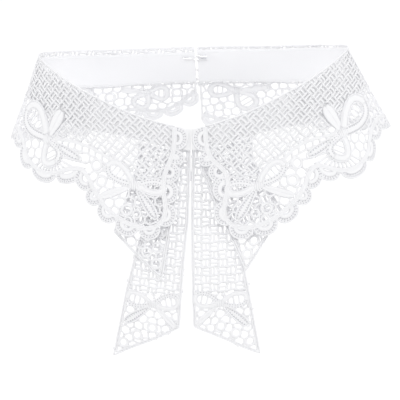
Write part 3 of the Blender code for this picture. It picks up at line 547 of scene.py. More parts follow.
@dataclass
class Drawing:
    """The cords of one piece, drawn on its flat cut."""

    cords: list[Cord] = field(default_factory=list)
    middle: float = 0.55
    bevel: int = 1

    def cord(self, line: Array, width: float | Array, thick: float, lift: float | Array | None = None,
             closed: bool = False, pits: bool = False) -> None:
        """Adds a cord.

        Args:
            line: Its points.
            width: Its width, one for all or one a point.
            thick: Its thickness.
            lift: The height of its middle over the form, or None for the middle of the lace.
            closed: Whether it runs back to its first point.
            pits: Whether it shows a row of pin holes, as dark dots of painted shade in the thread's
                colour.
        """
        if len(line) > 1:
            lift = self.middle if lift is None else lift
            self.cords.append(Cord(line, width, thick, lift, closed, pits))

    def piece(self, name: str, lay: Lay, mirrored: bool) -> Piece:
        """Makes the cords into one mesh and lays it on its form.

        Args:
            name: The piece's name.
            lay: Gives the places of flat points with their heights.
            mirrored: Whether the form is a mirrored one, which turns the mesh inside out.

        Returns:
            The piece.
        """
        whole = bmesh.new()
        for (ratio, length, pits), cords in sorted(self.groups().items()):
            mesh = self.tubes(ratio, cords)
            holes = mesh.attributes.new("pits", "FLOAT", "POINT")
            holes.data.foreach_set("value", np.full(len(mesh.vertices), float(pits), np.float32))
            uv = np.empty(len(mesh.loops) * 2, np.float32)
            mesh.uv_layers[0].data.foreach_get("uv", uv)
            uv[0::2] *= length
            mesh.uv_layers[0].data.foreach_set("uv", uv)
            whole.from_mesh(mesh)
            bpy.data.meshes.remove(mesh)
        bmesh.ops.remove_doubles(whole, verts=whole.verts, dist=1e-5)
        data = bpy.data.meshes.new(name)
        whole.to_mesh(data)
        normals = np.empty(len(data.vertices) * 3, np.float32)
        data.vertices.foreach_get("normal", normals)
        if mirrored:
            bmesh.ops.reverse_faces(whole, faces=whole.faces)
            whole.to_mesh(data)
        whole.free()
        # Painted light and shade: each point keeps its share of light, 1 where a cord faces straight
        # out, 0 on its sides and at most 0.8 on its underside; the thread's colour turns a low share
        # into painted shade.
        painted_crest_light = np.where(normals[2::3] > 0, normals[2::3], -0.8 * normals[2::3])
        data.attributes.new("painted_crest_light", "FLOAT", "POINT").data.foreach_set("value", painted_crest_light)
        points = np.empty(len(data.vertices) * 3)
        data.vertices.foreach_get("co", points)
        points = points.reshape(-1, 3)
        placed = lay(points[:, :2], points[:, 2]) * MM
        data.vertices.foreach_set("co", placed.ravel())
        data.shade_smooth()
        data.update()
        return linked(name, data)

    def groups(self) -> dict[tuple[float, float, bool], list[Cord]]:
        """The cords sorted by flatness, by length and by their pin holes."""
        sorted_cords: dict[tuple[float, float, bool], list[Cord]] = {}
        for cord in self.cords:
            ratio = round(cord.thick / float(np.max(cord.width)), 2)
            long = max(lengths(cord.line)[-1], 0.1)
            key = (ratio, 1.5 ** round(math.log(long, 1.5)), cord.pits)
            sorted_cords.setdefault(key, []).append(cord)
        return sorted_cords

    def tubes(self, ratio: float, cords: list[Cord]) -> Mesh:
        """Sweeps a round profile along cords and flattens it.

        Args:
            ratio: The thickness over the width.
            cords: The cords.

        Returns:
            The mesh, in flat places and heights.
        """
        curve = bpy.data.curves.new("cords", "CURVE")
        curve.dimensions = "3D"
        curve.twist_mode = "Z_UP"
        curve.bevel_depth = 1.0
        curve.bevel_resolution = self.bevel
        curve.use_fill_caps = True
        for cord in cords:
            count = len(cord.line)
            spline = curve.splines.new("POLY")
            spline.points.add(count - 1)
            heights = np.broadcast_to(np.asarray(cord.lift, float) / ratio, count)
            places = np.column_stack([cord.line, heights, np.ones(count)])
            spline.points.foreach_set("co", places.ravel())
            radii = np.broadcast_to(np.asarray(cord.width, float) / 2, count)
            spline.points.foreach_set("radius", radii.copy())
            spline.use_cyclic_u = cord.closed
        holder = bpy.data.objects.new("cords", curve)
        bpy.context.scene.collection.objects.link(holder)
        depsgraph = bpy.context.evaluated_depsgraph_get()
        mesh = bpy.data.meshes.new_from_object(holder.evaluated_get(depsgraph))
        bpy.data.objects.remove(holder)
        bpy.data.curves.remove(curve)
        mesh.transform(Matrix.Diagonal((1.0, 1.0, ratio, 1.0)))
        return mesh


def linked(name: str, data: Mesh) -> Piece:
    """Puts a mesh into the scene as an object."""
    obj = bpy.data.objects.new(name, data)
    bpy.context.scene.collection.objects.link(obj)
    return obj


@dataclass
class LaceWork(Drawing):
    """The motifs of guipure lace, drawn with cords."""

    strokes: list[Stroke] = field(default_factory=list)
    rooms: list[Array] = field(default_factory=list)
    loop_shift: float = 0.7
    rib: float = 0.9
    pin_step: float = 1.05
    pin_thick: float = 0.4
    knot: float = 3.2

    def free(self, places: Array, margin: float) -> Array:
        """Whether each place is clear of the strokes and outside the loops."""
        clear = np.ones(len(places), bool)
        for stroke in self.strokes:
            clear &= stroke.room(places) > margin
        for room in self.rooms:
            clear &= ~inside(room, places)
        return clear

    def runs(self, lines: Sequence[Array], zone: Array, margin: float = -0.35,
             step: float = 0.4) -> list[Array]:
        """Cuts lines where they run into strokes or leave a zone.

        Args:
            lines: The lines.
            zone: The outline of the zone.
            margin: How far from a stroke's edge a line ends.
            step: How finely the lines are tested.

        Returns:
            The parts that are left.
        """
        fine = [even(line, step) for line in lines]
        if not fine:
            return []
        places = np.vstack(fine)
        open_places = self.free(places, margin) & inside(zone, places)
        parts, first = [], 0
        for line in fine:
            is_open = np.r_[False, open_places[first:first + len(line)], False]
            turns = np.flatnonzero(np.diff(is_open.astype(int)))
            parts += [line[a:b] for a, b in zip(turns[::2], turns[1::2]) if b - a > 2]
            first += len(line)
        return parts

    def bars(self, lines: Sequence[Array], middle: float, ends: float, thick: float,
             lift: float | None = None, over: float = 1.6) -> None:
        """Draws bars that swell towards their ends.

        Args:
            lines: Their lines.
            middle: Their width along the middle.
            ends: Their width at the ends.
            thick: Their thickness.
            lift: The height of their middle, or None for the middle of the lace.
            over: The length over which they swell.
        """
        for line in lines:
            bar = even(line, BAR_STEP)
            self.cord(bar, swollen(bar, middle, ends, over), thick, lift)

    def loop(self, origin: Array, ahead: Array, across: Array, petal: Petal) -> None:
        """Draws a loop: a satin band on one side, rows of pin holes as dots of painted shade on the
        other, bars inside.
        """
        def at(turn: Array) -> Array:
            reach = petal.length * (1 - np.cos(turn)) / 2
            wide = petal.width / 2 * np.sin(turn) * np.sin(turn / 2) / 0.77
            return origin + reach[:, None] * ahead + wide[:, None] * across

        turn = np.linspace(0.1, 0.9, 60) * TURN
        line = even(aside(at(turn), -self.loop_shift), 0.9)
        self.strokes.append(Stroke(line, petal.band / 2))
        self.rooms.append(line)
        out = petal.band / 2 - self.rib / 2
        self.cord(aside(line, -out), self.rib, 1.0, 0.95)
        self.cord(aside(line, out), self.rib, 1.0, 1.05)
        middle = len(line) // 2 + 3
        self.cord(line[:middle], petal.band - self.rib, 1.25, 0.95)
        pins = even(line[middle - 2:], self.pin_step)
        self.cord(pins, petal.band - self.rib, 0.9, 0.75)
        for by in (-0.62, 0.62):
            self.cord(aside(pins, by * out), 0.7, self.pin_thick, 1.15, pits=True)
        for reach in np.arange(0.3 * petal.length, 0.92 * petal.length, 3.3):
            ends = at(np.array([1, -1]) * math.acos(1 - 2 * reach / petal.length) % TURN)
            gap = np.linalg.norm(ends[1] - ends[0])
            if gap > petal.band + 1.5:
                inward = (ends[1] - ends[0]) / gap * petal.band / 2
                bar = even(np.array([ends[0] + inward, ends[1] - inward]), 0.8)
                self.cord(bar, swollen(bar, 1.1, 1.9, 1.2), 0.85)

    def leaf(self, origin: Array, ahead: Array, across: Array, petal: Petal) -> None:
        """Draws a leaf: a satin blade with a groove, or a rim with rows of pin holes as dots of painted
        shade.
        """
        reach = np.linspace(0.14, 1.0, 22)
        shape = (0.14, 0.4, 0.65, 0.88, 1.0), (0.45, 0.78, 1.0, 0.9, 0.35)
        half = petal.width / 2 * np.interp(reach, *shape)
        half = np.convolve(np.pad(half, 2, mode="edge"), np.ones(5) / 5, "valid")
        line = origin + reach[:, None] * petal.length * ahead
        self.strokes.append(Stroke(line, half))
        if petal.kind is PetalKind.SATIN:
            for side in (-1, 1):
                self.cord(line + side * across * half[:, None] * 0.42, half * 1.2, 1.15, 0.8)
            return
        out = across * (half[:, None] - 0.4)
        rim = np.vstack([line + out, (line - out)[::-1]])
        self.cord(even(rim, 0.9, True), 1.15, 1.1, 1.0, True)
        self.cord(line[1:-1], half[1:-1] * 1.8, 0.8, 0.7)
        for share in (-0.42, 0.42):
            pins = line[2:-2] + share * across * half[2:-2, None]
            self.cord(pins, 0.7, self.pin_thick, 1.05, pits=True)

    def bow(self, bow: Bow, origin: Array, to_side: Array, to_hem: Array) -> None:
        """Draws a bow with its petals and its knot."""
        for petal in bow.petals:
            angle = math.radians(petal.angle)
            ahead = math.cos(angle) * to_side + math.sin(angle) * to_hem
            across = np.array([-ahead[1], ahead[0]])
            (self.loop if petal.kind is PetalKind.LOOP else self.leaf)(origin, ahead, across, petal)
        half = self.knot
        ends = origin + np.linspace(-half, half, 7)[:, None] * to_hem
        self.strokes.append(Stroke(ends[2:5], half))
        for by in np.array([-0.8, -0.4, 0.0, 0.4, 0.8]) * half:
            line = origin + (ends - origin) * math.sqrt(1 - (by / half / 1.15) ** 2) + by * to_side
            wide = np.array([0.8, 1.3, 1.5, 1.55, 1.5, 1.3, 0.8]) * half / 3
            self.cord(line, wide, 1.3, 1.3 - 0.35 * abs(by) / half)

    def ring(self, centre: Array, outer: float = 3.95, hole: float = 2.1) -> None:
        """Draws a satin ring round a hole."""
        line = ring_points(centre, (outer + hole) / 2, 22)
        self.strokes.append(Stroke(line, (outer - hole) / 2, True))
        self.rooms.append(line)
        self.cord(line, outer - hole, 1.1, 0.8, True)

    def band(self, line: Array, width: float, rise: float, closed: bool = False) -> None:
        """Draws a wide cord with three ridges."""
        rib = width / 3 + 0.25
        self.strokes.append(Stroke(line, width / 2, closed))
        self.cord(line, rib, 1.1, 0.7 + rise, closed)
        for side in (-1, 1):
            ridge = aside(line, side * (width - rib) / 2, closed)
            self.cord(ridge, rib, 1.0, 0.6 + rise, closed)

    def lobe(self, a: Array, b: Array, reach: float) -> None:
        """Draws a lobe of the scalloped hem between two places on the border cord.

        Args:
            a: The lobe's first end.
            b: Its second end.
            reach: How far the lobe's rim stands out from the border cord.
        """
        chord = float(np.linalg.norm(b - a))
        ahead = (b - a) / chord
        out = np.array([ahead[1], -ahead[0]])
        middle = (a + b) / 2

        def arch(half: float, height: float, foot: float, step: float) -> Array:
            turn = np.linspace(0.0, math.pi, 40)
            line = (middle - ahead * half * np.cos(turn)[:, None]
                    + out * (foot + (height - foot) * np.sin(turn) ** 0.8)[:, None])
            return even(line, step)

        # From the rim inwards: a rim, a satin arch, a light plate and two rows of pin holes, painted as
        # dots of shade
        self.cord(arch(chord / 2 - 0.15, reach - 0.6, 0.9, 0.9), 1.25, 1.15, 0.75)
        wide = 2.7 + 0.2 * max(0.0, chord - 12.4)
        self.cord(arch(chord / 2 - 1.9 - wide / 2, reach - 2.5 - wide / 2, 1.0, 0.9), wide, 1.25, 0.8)
        self.cord(arch(chord / 2 - 1.35, reach - 1.9, 1.2, 0.95), 2.3, 0.75, 0.7)
        for step in (0.95, 1.95):
            pins = arch(chord / 2 - step, reach - 0.55 - step, 1.6, 0.95)
            self.cord(pins, 0.65, self.pin_thick, 1.05, pits=True)


def honeycomb(zone: Array, pitch: float, jitter: float, seed: int) -> list[Array]:
    """The walls of an uneven honeycomb over a zone.

    Args:
        zone: The zone's outline.
        pitch: The distance of the cells' centres.
        jitter: How far a centre may lie from its even place.
        seed: The seed of the chance.

    Returns:
        The walls, each with its two ends.
    """
    chance = random.Random(seed)
    low, high = zone.min(axis=0), zone.max(axis=0)
    row_step = pitch * math.sqrt(0.75)
    rows, columns = int((high[1] - low[1]) / row_step) + 2, int((high[0] - low[0]) / pitch) + 2
    centres = []
    for row in range(rows):
        for column in range(columns):
            x, y = low[0] + (column + 0.5 * (row % 2)) * pitch, low[1] + row * row_step
            centres.append((x + chance.uniform(-jitter, jitter), y + chance.uniform(-jitter, jitter)))
    centres = np.array(centres)
    near = inside(zone, centres) | (Stroke(zone, 0.0, True).room(centres) < pitch)
    walls: dict[tuple[int, int], Array] = {}
    for centre in centres[near]:
        away = np.linalg.norm(centres - centre, axis=1)
        cell = ring_points(centre, pitch, 12)
        for other in centres[(away > 0.1) & (away < 2.2 * pitch)]:
            gap = np.linalg.norm(other - centre)
            cell = clipped(cell, centre, (other - centre) / gap, gap / 2)
        for p, q in zip(cell, np.roll(cell, -1, axis=0)):
            middle = (p + q) / 2
            if np.linalg.norm(q - p) > 0.7:
                walls.setdefault((round(middle[0] / 0.3), round(middle[1] / 0.3)), np.array([p, q]))
    return list(walls.values())


def clipped(corners: Array, centre: Array, toward: Array, reach: float) -> Array:
    """Cuts a convex outline by the line at a reach from the centre."""
    past = (corners - centre) @ toward - reach
    kept = []
    for i in range(len(corners)):
        j = (i + 1) % len(corners)
        if past[i] <= 0:
            kept.append(corners[i])
        if past[i] * past[j] < 0:
            kept.append(corners[i] + (corners[j] - corners[i]) * past[i] / (past[i] - past[j]))
    return np.array(kept)


@dataclass(frozen=True)
class Trellis:
    """An even net of two sets of threads, with each cell halved by a bar, this way and that."""

    first: float
    second: float
    turn: float
    thread: float = 1.6
    ridge: float = 0.85
    bar: float = 1.2
    wander: float = 0.2
    thick: float = 0.5
    lifts: tuple[float, float] = (0.3, 0.4)
    line_step: float = 1.15
    knob_ends: tuple[float, float] = (0.5, 1.05)
    knob_widths: tuple[float, float] = (2.5, 1.1)

    def draw(self, work: LaceWork, zone: Array) -> None:
        """Draws the net over a zone, clear of the strokes of the lace.

        Args:
            work: The lace that the net is part of.
            zone: The zone's outline.
        """
        angle = math.radians(self.turn)
        a = np.array([math.cos(angle), math.sin(angle)])
        b = np.array([-a[1], a[0]])
        a_at, b_at = (
            np.arange(math.floor(spots.min() / pitch), math.ceil(spots.max() / pitch) + 1) * pitch
            for spots, pitch in ((zone @ a, self.first), (zone @ b, self.second)))

        def sway(along: Array, k: int) -> Array:
            return self.wander * (np.sin(along * 0.55 + 1.7 * k) + 0.6 * np.sin(along * 1.3 + 2.3 * k))

        low, high = self.lifts
        for across, up, places, span, lift in ((a, b, a_at, b_at, low), (b, a, b_at, a_at, high)):
            lines = []
            for k, place in enumerate(places):
                along = np.arange(span[0], span[-1], 0.8)
                lines.append(across * (place + sway(along, k))[:, None] + up * along[:, None])
            for run in work.runs(lines, zone):
                line = even(run, self.line_step)
                work.cord(line, self.thread, self.thick, lift)
                if across is b:
                    work.cord(line, self.ridge, 0.75, 0.65)
        bars, dots = [], []
        for i, p in enumerate(a_at[:-1]):
            for j, q in enumerate(b_at[:-1]):
                dots.append(a * p + b * q)
                if (i + j) % 2:
                    ends = [(p, q + self.second / 2), (p + self.first, q + self.second / 2)]
                else:
                    ends = [(p + self.first / 2, q), (p + self.first / 2, q + self.second)]
                bars.append(np.array([a * e[0] + b * e[1] for e in ends]))
        work.bars(work.runs(bars, zone), self.bar, self.bar + 1.0, self.thick, high, 1.5)
        dots = np.array(dots)
        (near, far), (wide, narrow) = self.knob_ends, self.knob_widths
        for dot in dots[work.free(dots, 0.1) & inside(zone, dots)]:
            ends = dot + np.array([-far, -near, near, far])[:, None] * a
            work.cord(ends, np.array([narrow, wide, wide, narrow]), 0.6, 0.45)


@dataclass
class LaceHalf:
    """One half of the lace, from the centre front round the side to the centre back."""

    half: Half
    gap: float = 1.0
    border_width: float = 3.0
    inner_width: float = 2.0
    lobe_chord: float = 12.4
    lobe_reach: float = 8.2
    ladder_depth: float = 4.3
    ladder_pitch: float = 4.3
    bride: float = 1.3
    ray_step: float = 14.0
    ray_fan: float = 84.0
    ray_length: float = 26.0
    small_ring: tuple[float, float] = (3.0, 1.6)
    bride_pitch: float = 6.3
    net: Trellis = Trellis(4.5, 5.45, 135.0)
    joints: tuple[tuple[float, ...], ...] = (
        (0.0, 0.105, 0.17, 0.262, 0.37, 0.48, 0.585, 0.695, 0.805, 0.89, 1.0),
        (0.0, 0.26, 0.565, 0.81, 1.0),
    )

    def border_parts(self, form: Form) -> list[Array]:
        """The smooth flat course of the border cord, in parts that end at its cusps."""
        knots = BORDER_FRONT[self.half] + BORDER_SIDE + BORDER_BACK[self.half]
        flat = form.flat(np.array([k.along for k in knots]), np.array([k.down for k in knots]))
        at = lengths(flat)
        breaks = [0] + [i for i, k in enumerate(knots) if k.cusp] + [len(knots) - 1]
        parts = []
        for first, last in zip(breaks, breaks[1:]):
            steps = np.linspace(at[first], at[last], int((at[last] - at[first]) / 1.0) + 2)
            parts.append(np.stack([smooth(at, flat[:, k], steps) for k in range(2)], axis=1))
        return parts

    def build(self, finish: Finish) -> tuple[Piece, Array]:
        """Draws the lace and lays it on its form.

        Args:
            finish: The lace's material.

        Returns:
            The piece, and the outline of its cut.
        """
        form, work = Form(self.half), LaceWork()
        parts = self.border_parts(form)
        border = np.vstack(parts)
        end = form.length - self.gap
        work.band(even(self.rounded(border), CORD_STEP), self.border_width, 0.35)
        for number, part in enumerate(parts):
            self.lobes(work, part, self.joints[number] if number < len(self.joints) else None)
        cord = even(form.flat(*np.array(INNER_CORD[self.half]).T), CORD_STEP)
        work.band(cord, self.inner_width, 0.15)
        for bow in (*BOWS_FRONT[self.half], BOW_SIDE, BOW_BACK[self.half]):
            work.bow(bow, form.flat(bow.along, bow.down), *form.flat_axes(bow.along))
        for ring in RINGS_BOTH + RINGS[self.half]:
            work.ring(form.flat(*ring))
        for ring in SMALL_RINGS[self.half]:
            work.ring(form.flat(*ring), *self.small_ring)

        neck = form.flat(np.arange(BORDER_FRONT[self.half][0].along, end, 2.0), 0.55)
        lowest = form.measure(border[-1:])[1][0] + 4.0
        back = form.flat(np.full(20, end - 0.6), np.linspace(0.6, lowest, 20))
        work.cord(even(neck, CORD_STEP), 1.1, 1.1, 0.6)
        work.cord(even(back, CORD_STEP), 1.2, 1.1, 0.6)
        top = even(form.flat(*np.array(MOTIF_TOP_FRONT[self.half] + MOTIF_TOP).T), 1.0)
        for run in work.runs([top], np.vstack([border, neck[::-1]])):
            work.cord(even(run, 1.2), 0.9, 0.9, 0.65)
        edge = even(border, 1.5)
        low_zone = np.vstack([edge, top[::-1]])
        self.ladder(work, form, np.vstack([edge, neck[::-1]]))
        self.rays(work, form, low_zone)
        ground = np.vstack([even(border, 3.0), even(top, 6.0)[::-1]])
        cells = honeycomb(ground, self.bride_pitch, 0.8, 5)
        work.bars(work.runs(cells, low_zone), self.bride, self.bride + BRIDE_FOOT, self.bride)
        turn = np.linalg.norm(edge - top[0], axis=1).argmin()
        high_zone = np.vstack([edge[:turn], top, neck[::-1]])
        self.net.draw(work, high_zone)

        piece = work.piece(f"guipure_{self.half.value}", form.lay, form.sign < 0)
        dress(piece, finish, "lace_thread", f"lace_{self.half.value}")
        hem = np.vstack([aside(even(part, 3.0), -self.lobe_reach + 1.2) for part in parts])
        return piece, np.vstack([hem, back[::-1], neck[::-1]])

    def ladder(self, work: LaceWork, form: Form, zone: Array) -> None:
        """Draws the row of openings along the inner cord.

        Args:
            work: The lace that it is part of.
            form: The form with the flat cut.
            zone: The outline of the motifs' zone.
        """
        along = np.arange(INNER_CORD[self.half][0][0] + 3.0, 83.0, self.ladder_pitch)
        high = np.interp(along, *np.array(INNER_CORD[self.half]).T)
        rungs = np.stack([form.flat(along, high), form.flat(along, high + self.ladder_depth)], axis=1)
        rail = even(rungs[:, 1], 1.0)
        work.bars(work.runs([rail, *rungs], zone), self.bride + 0.1, self.bride + 0.6, self.bride)
        work.strokes.append(Stroke(rail, 0.55))
        work.rooms.append(np.vstack([rungs[:, 0], rail[::-1]]))

    def rays(self, work: LaceWork, form: Form, zone: Array) -> None:
        """Draws the bars that spread from the lower loop of the outer bow to the border cord.

        Args:
            work: The lace that they are part of.
            form: The form with the flat cut.
            zone: The outline of the motifs' zone.
        """
        bow = BOWS_FRONT[self.half][1]
        petal = bow.petals[2]
        to_side, to_hem = form.flat_axes(bow.along)
        angle = math.radians(petal.angle)
        ahead = math.cos(angle) * to_side + math.sin(angle) * to_hem
        across = np.array([-ahead[1], ahead[0]])
        centre = form.flat(bow.along, bow.down) + ahead * petal.length * 0.6
        turns = np.radians(np.arange(-self.ray_fan, self.ray_fan + 1.0, self.ray_step))
        ways = np.cos(turns)[:, None] * ahead + np.sin(turns)[:, None] * across
        ends = centre + self.ray_length * ways
        lines = work.runs([np.array([centre, end]) for end in ends], zone)
        work.bars(lines, self.bride + 0.2, self.bride + 1.0, self.bride)
        work.rooms.append(np.vstack([centre, ends]))

    def rounded(self, border: Array, reach: int = 4) -> Array:
        """Rounds the border cord where two of its parts meet in a point."""
        spread = np.ones(2 * reach + 1) / (2 * reach + 1)
        line = even(border, 0.8)
        for _ in range(2):
            padded = np.pad(line, ((reach, reach), (0, 0)), mode="reflect", reflect_type="odd")
            line = np.stack([np.convolve(padded[:, k], spread, "valid") for k in range(2)], axis=1)
        return line

    def lobes(self, work: LaceWork, part: Array, joints: Sequence[float] | None) -> None:
        """Draws the lobes along one part of the border cord.

        Args:
            work: The lace that they are part of.
            part: The part of the border cord.
            joints: Where lobes meet, as shares of its length, or None for even lobes.
        """
        at = lengths(part)
        count = max(1, int(round(at[-1] / self.lobe_chord)))
        ends = at[-1] * (np.linspace(0.0, 1.0, count + 1) if joints is None else np.array(joints))
        points = rows_at(ends, at, part)
        for a, b in zip(points, points[1:]):
            work.lobe(a, b, self.lobe_reach)


@dataclass
class LaceTail:
    """A lace strip that hangs from the band, with a slanted end."""

    tail: Tail
    edge_width: float = 2.2
    edge_cords: tuple[float, float] = (0.55, 1.65)
    ring: tuple[float, float] = (3.6, 1.9)
    bride: float = 1.2
    bride_pitch: float = 5.6
    net: Trellis = Trellis(5.0, 5.0, 0.0, 1.45, 0.8, 1.3, 0.4)

    def build(self, finish: Finish) -> tuple[Piece, Array]:
        """Draws the tail and lays it on its hanging surface.

        Args:
            finish: The lace's material.

        Returns:
            The piece, and the outline of its cut.
        """
        tail, work = self.tail, LaceWork(loop_shift=0.3, rib=0.8, knot=2.6)
        corners = tail.corners()
        rim = inset(corners, self.edge_width / 2)
        work.strokes.append(Stroke(rim, self.edge_width / 2, True))
        for by in self.edge_cords:
            work.cord(parted(inset(corners, by), 1.2), 1.05, 1.0, 0.6, True)
        if tail.bow:
            origin = np.array([tail.bow.along, -tail.bow.down])
            work.bow(tail.bow, origin, np.array([1.0, 0.0]), np.array([0.0, -1.0]))
        for across, down in tail.rings:
            work.ring(np.array([across, -down]), *self.ring)
        fine = parted(corners, 0.5)
        self.net.draw(work, fine[fine[:, 1] >= -tail.net_ends])
        end = fine[fine[:, 1] <= -tail.net_ends]
        walls = work.runs(honeycomb(end, self.bride_pitch, 0.7, 7), end)
        work.bars(walls, self.bride, self.bride + BRIDE_FOOT, self.bride)
        piece = work.piece(f"{tail.name}_guipure", tail.lay, tail.side < 0)
        dress(piece, finish, "lace_thread", tail.name)
        return piece, corners


def parted(corners: Array, step: float) -> Array:
    """The points of a closed outline, with each side parted into nearly equal steps."""
    points = []
    for corner, after in zip(corners, np.roll(corners, -1, axis=0)):
        parts = max(1, int(round(np.linalg.norm(after - corner) / step)))
        points += [corner + (after - corner) * k / parts for k in range(parts)]
    return np.array(points)


def inset(corners: Array, by: float) -> Array:
    """An outline that runs anticlockwise, moved in by a distance."""
    moved = []
    steps = np.roll(corners, -1, axis=0) - corners
    for corner, come, go in zip(corners, np.roll(steps, 1, axis=0), steps):
        come, go = come / np.linalg.norm(come), go / np.linalg.norm(go)
        left = np.array([-come[1] - go[1], come[0] + go[0]])
        left /= np.linalg.norm(left)
        moved.append(corner + left * by / max(0.3, left @ np.array([-come[1], come[0]])))
    return np.array(moved)


@dataclass
class NeckBand:
    """One half of the plain neck band, with its stitched edges."""

    half: Half
    seam: float = 0.3
    gap: float = 0.8
    wall: float = 1.0
    depths: tuple[tuple[float, float], ...] = ((0.0, 14.0), (35.0, 15.0), (47.0, 16.8), (60.0, 20.5),
                                               (75.0, 24.5), (90.0, 26.0), (240.0, 26.0))
    drop_front: float = 0.8
    drop_back: dict[Half, float] = field(default_factory=lambda: {Half.LEFT: 3.0, Half.RIGHT: 1.2})
    drops_between: tuple[float, float] = (60.0, 130.0)
    section_step: float = 2.0
    rows: int = 12
    edge_in: float = 0.5
    rim_in: float = 0.12
    stitch_in: float = 1.9
    stitch_start: float = 3.0
    stitch_pitch: float = 2.5
    stitch_length: float = 1.8
    stitch_width: float = 0.34

    def top(self, along: Array) -> Array:
        """The distance of the band's upper edge below the neck edge."""
        start, end = self.drops_between
        back = np.clip((along - start) / (end - start), 0, 1)
        return self.drop_front + (self.drop_back[self.half] - self.drop_front) * back

    def depth(self, along: Array) -> Array:
        """The distance of the band's lower edge below the neck edge."""
        return smooth(*zip(*self.depths), along)

    def ease(self, along: Array, down: Array) -> Array:
        """How far the cloth gives in and out."""
        return 0.16 * np.sin(along * 0.13 + 0.05 * down) + 0.08 * np.sin(along * 0.31 + down * 0.2)

    def build(self, cloth: Finish, thread: Finish) -> list[Piece]:
        """Makes the band and its stitches.

        Args:
            cloth: The band's material.
            thread: The stitches' material.

        Returns:
            The band and the stitches.
        """
        form = Form(self.half)
        along = np.linspace(self.seam / 2, form.length - self.gap, int(form.length / self.section_step))
        shell = bmesh.new()
        uv = shell.loops.layers.uv.new("UVMap")
        place = shell.verts.layers.float_vector.new("flat")
        rings = []
        for a, top, low in zip(along, self.top(along), self.depth(along)):
            rows = np.linspace(top + self.edge_in, low - self.edge_in, self.rows)
            rows = np.r_[top + self.rim_in, rows, low - self.rim_in]
            thick = np.r_[0.5, np.ones(self.rows), 0.5] * self.wall / 2
            middle = -self.seam - self.wall / 2 + self.ease(a, rows)
            down = np.r_[rows, rows[::-1]]
            lift = np.r_[middle + thick, (middle - thick)[::-1]]
            points = form.spot(a, down, lift) * MM
            verts = [shell.verts.new(p) for p in points]
            # The map's second number is negative on the inner face; the cloth's colour uses this for
            # painted shade there and painted light on the outer face.
            for vert, d, side in zip(verts, down, np.repeat([1, -1], len(rows))):
                vert[place] = (a, d * side, 0.0)
            rings.append([shell.edges.new(pair) for pair in zip(verts, verts[1:] + verts[:1])])
        for before, after in zip(rings, rings[1:]):
            bmesh.ops.bridge_loops(shell, edges=before + after)
        for ends in (rings[0], rings[-1]):
            bmesh.ops.contextual_create(shell, geom=ends)
        for face in shell.faces:
            for loop in face.loops:
                loop[uv].uv = loop.vert[place][:2]
        bmesh.ops.recalc_face_normals(shell, faces=shell.faces)
        data = bpy.data.meshes.new("band")
        shell.to_mesh(data)
        shell.free()
        data.shade_smooth()
        data.set_sharp_from_angle(angle=math.radians(60))
        band = linked(f"band_cloth_{self.half.value}", data)
        dress(band, cloth, "band_cloth", f"band_{self.half.value}")
        name = f"band_stitches_{self.half.value}"
        stitches = self.stitches(form).piece(name, form.plain, form.sign > 0)
        dress(stitches, thread, "band_cloth")
        return [band, stitches]

    def stitches(self, form: Form) -> Drawing:
        """The rows of stitches along both edges, on both faces."""
        drawing = Drawing()
        start = self.stitch_start
        bends = np.array([0.0, 0.3, self.stitch_length - 0.3, self.stitch_length])
        dip = np.array([-0.12, 0.02, 0.02, -0.12])
        for k in range(int((form.length - 2 * start) / self.stitch_pitch)):
            a = start + k * self.stitch_pitch + bends
            for down in (self.top(a) + self.stitch_in, self.depth(a) - self.stitch_in):
                middle = -self.seam - self.wall / 2 + self.ease(a, down)
                line, wide = np.column_stack([a, down]), self.stitch_width
                for outer in (1, -1):
                    drawing.cord(line, wide, wide * 0.7, middle + outer * (self.wall / 2 + dip))
        return drawing


@dataclass
class Closure:
    """The sewing that holds the hook and the eye to the band."""

    down: float = 7.0
    leg_gap: float = 1.3
    leg_in: float = 7.0
    hook_in: float = 8.2
    thread: float = 0.3
    winds: int = 6
    wind_step: float = 0.55
    wind_half: float = 0.85
    wind_rise: float = 1.3
    face: float = -1.32

    def build(self, half: Half, finish: Finish) -> Piece:
        """Winds thread over the wire where it is sewn down.

        Args:
            half: The half that the wire is sewn to.
            finish: The thread's material.

        Returns:
            The sewing.
        """
        form = Form(half)
        drawing = Drawing()
        rows = (-self.leg_gap, self.leg_gap) if half is Half.RIGHT else (0.0,)
        inner = self.leg_in if half is Half.RIGHT else self.hook_in
        for row in rows:
            for k in range(self.winds):
                at = form.length - inner + 0.3 + self.wind_step * k
                turn = np.linspace(-0.1, 1.1, 9) * math.pi
                line = np.column_stack([at + 0.1 * turn,
                                        self.down + row + self.wind_half * np.cos(turn)])
                rise = self.wind_rise * np.clip(np.sin(turn), 0, 1)
                drawing.cord(line, self.thread, self.thread, self.face - rise)
        piece = drawing.piece(f"closure_sewing_{half.value}", form.plain, form.sign > 0)
        dress(piece, finish, "band_cloth")
        return piece


def dress(piece: Piece, finish: Finish, slot: str, *nodes: str) -> None:
    """Gives a piece its finish, hangs it from the root and hides the solids that it replaces.

    Args:
        piece: The piece.
        finish: Its material.
        slot: Not used.
        *nodes: The solids that it replaces.
    """
    piece.data.materials.clear()
    piece.data.materials.append(finish)
    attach(piece, "root")
    if nodes:
        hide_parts(*nodes)


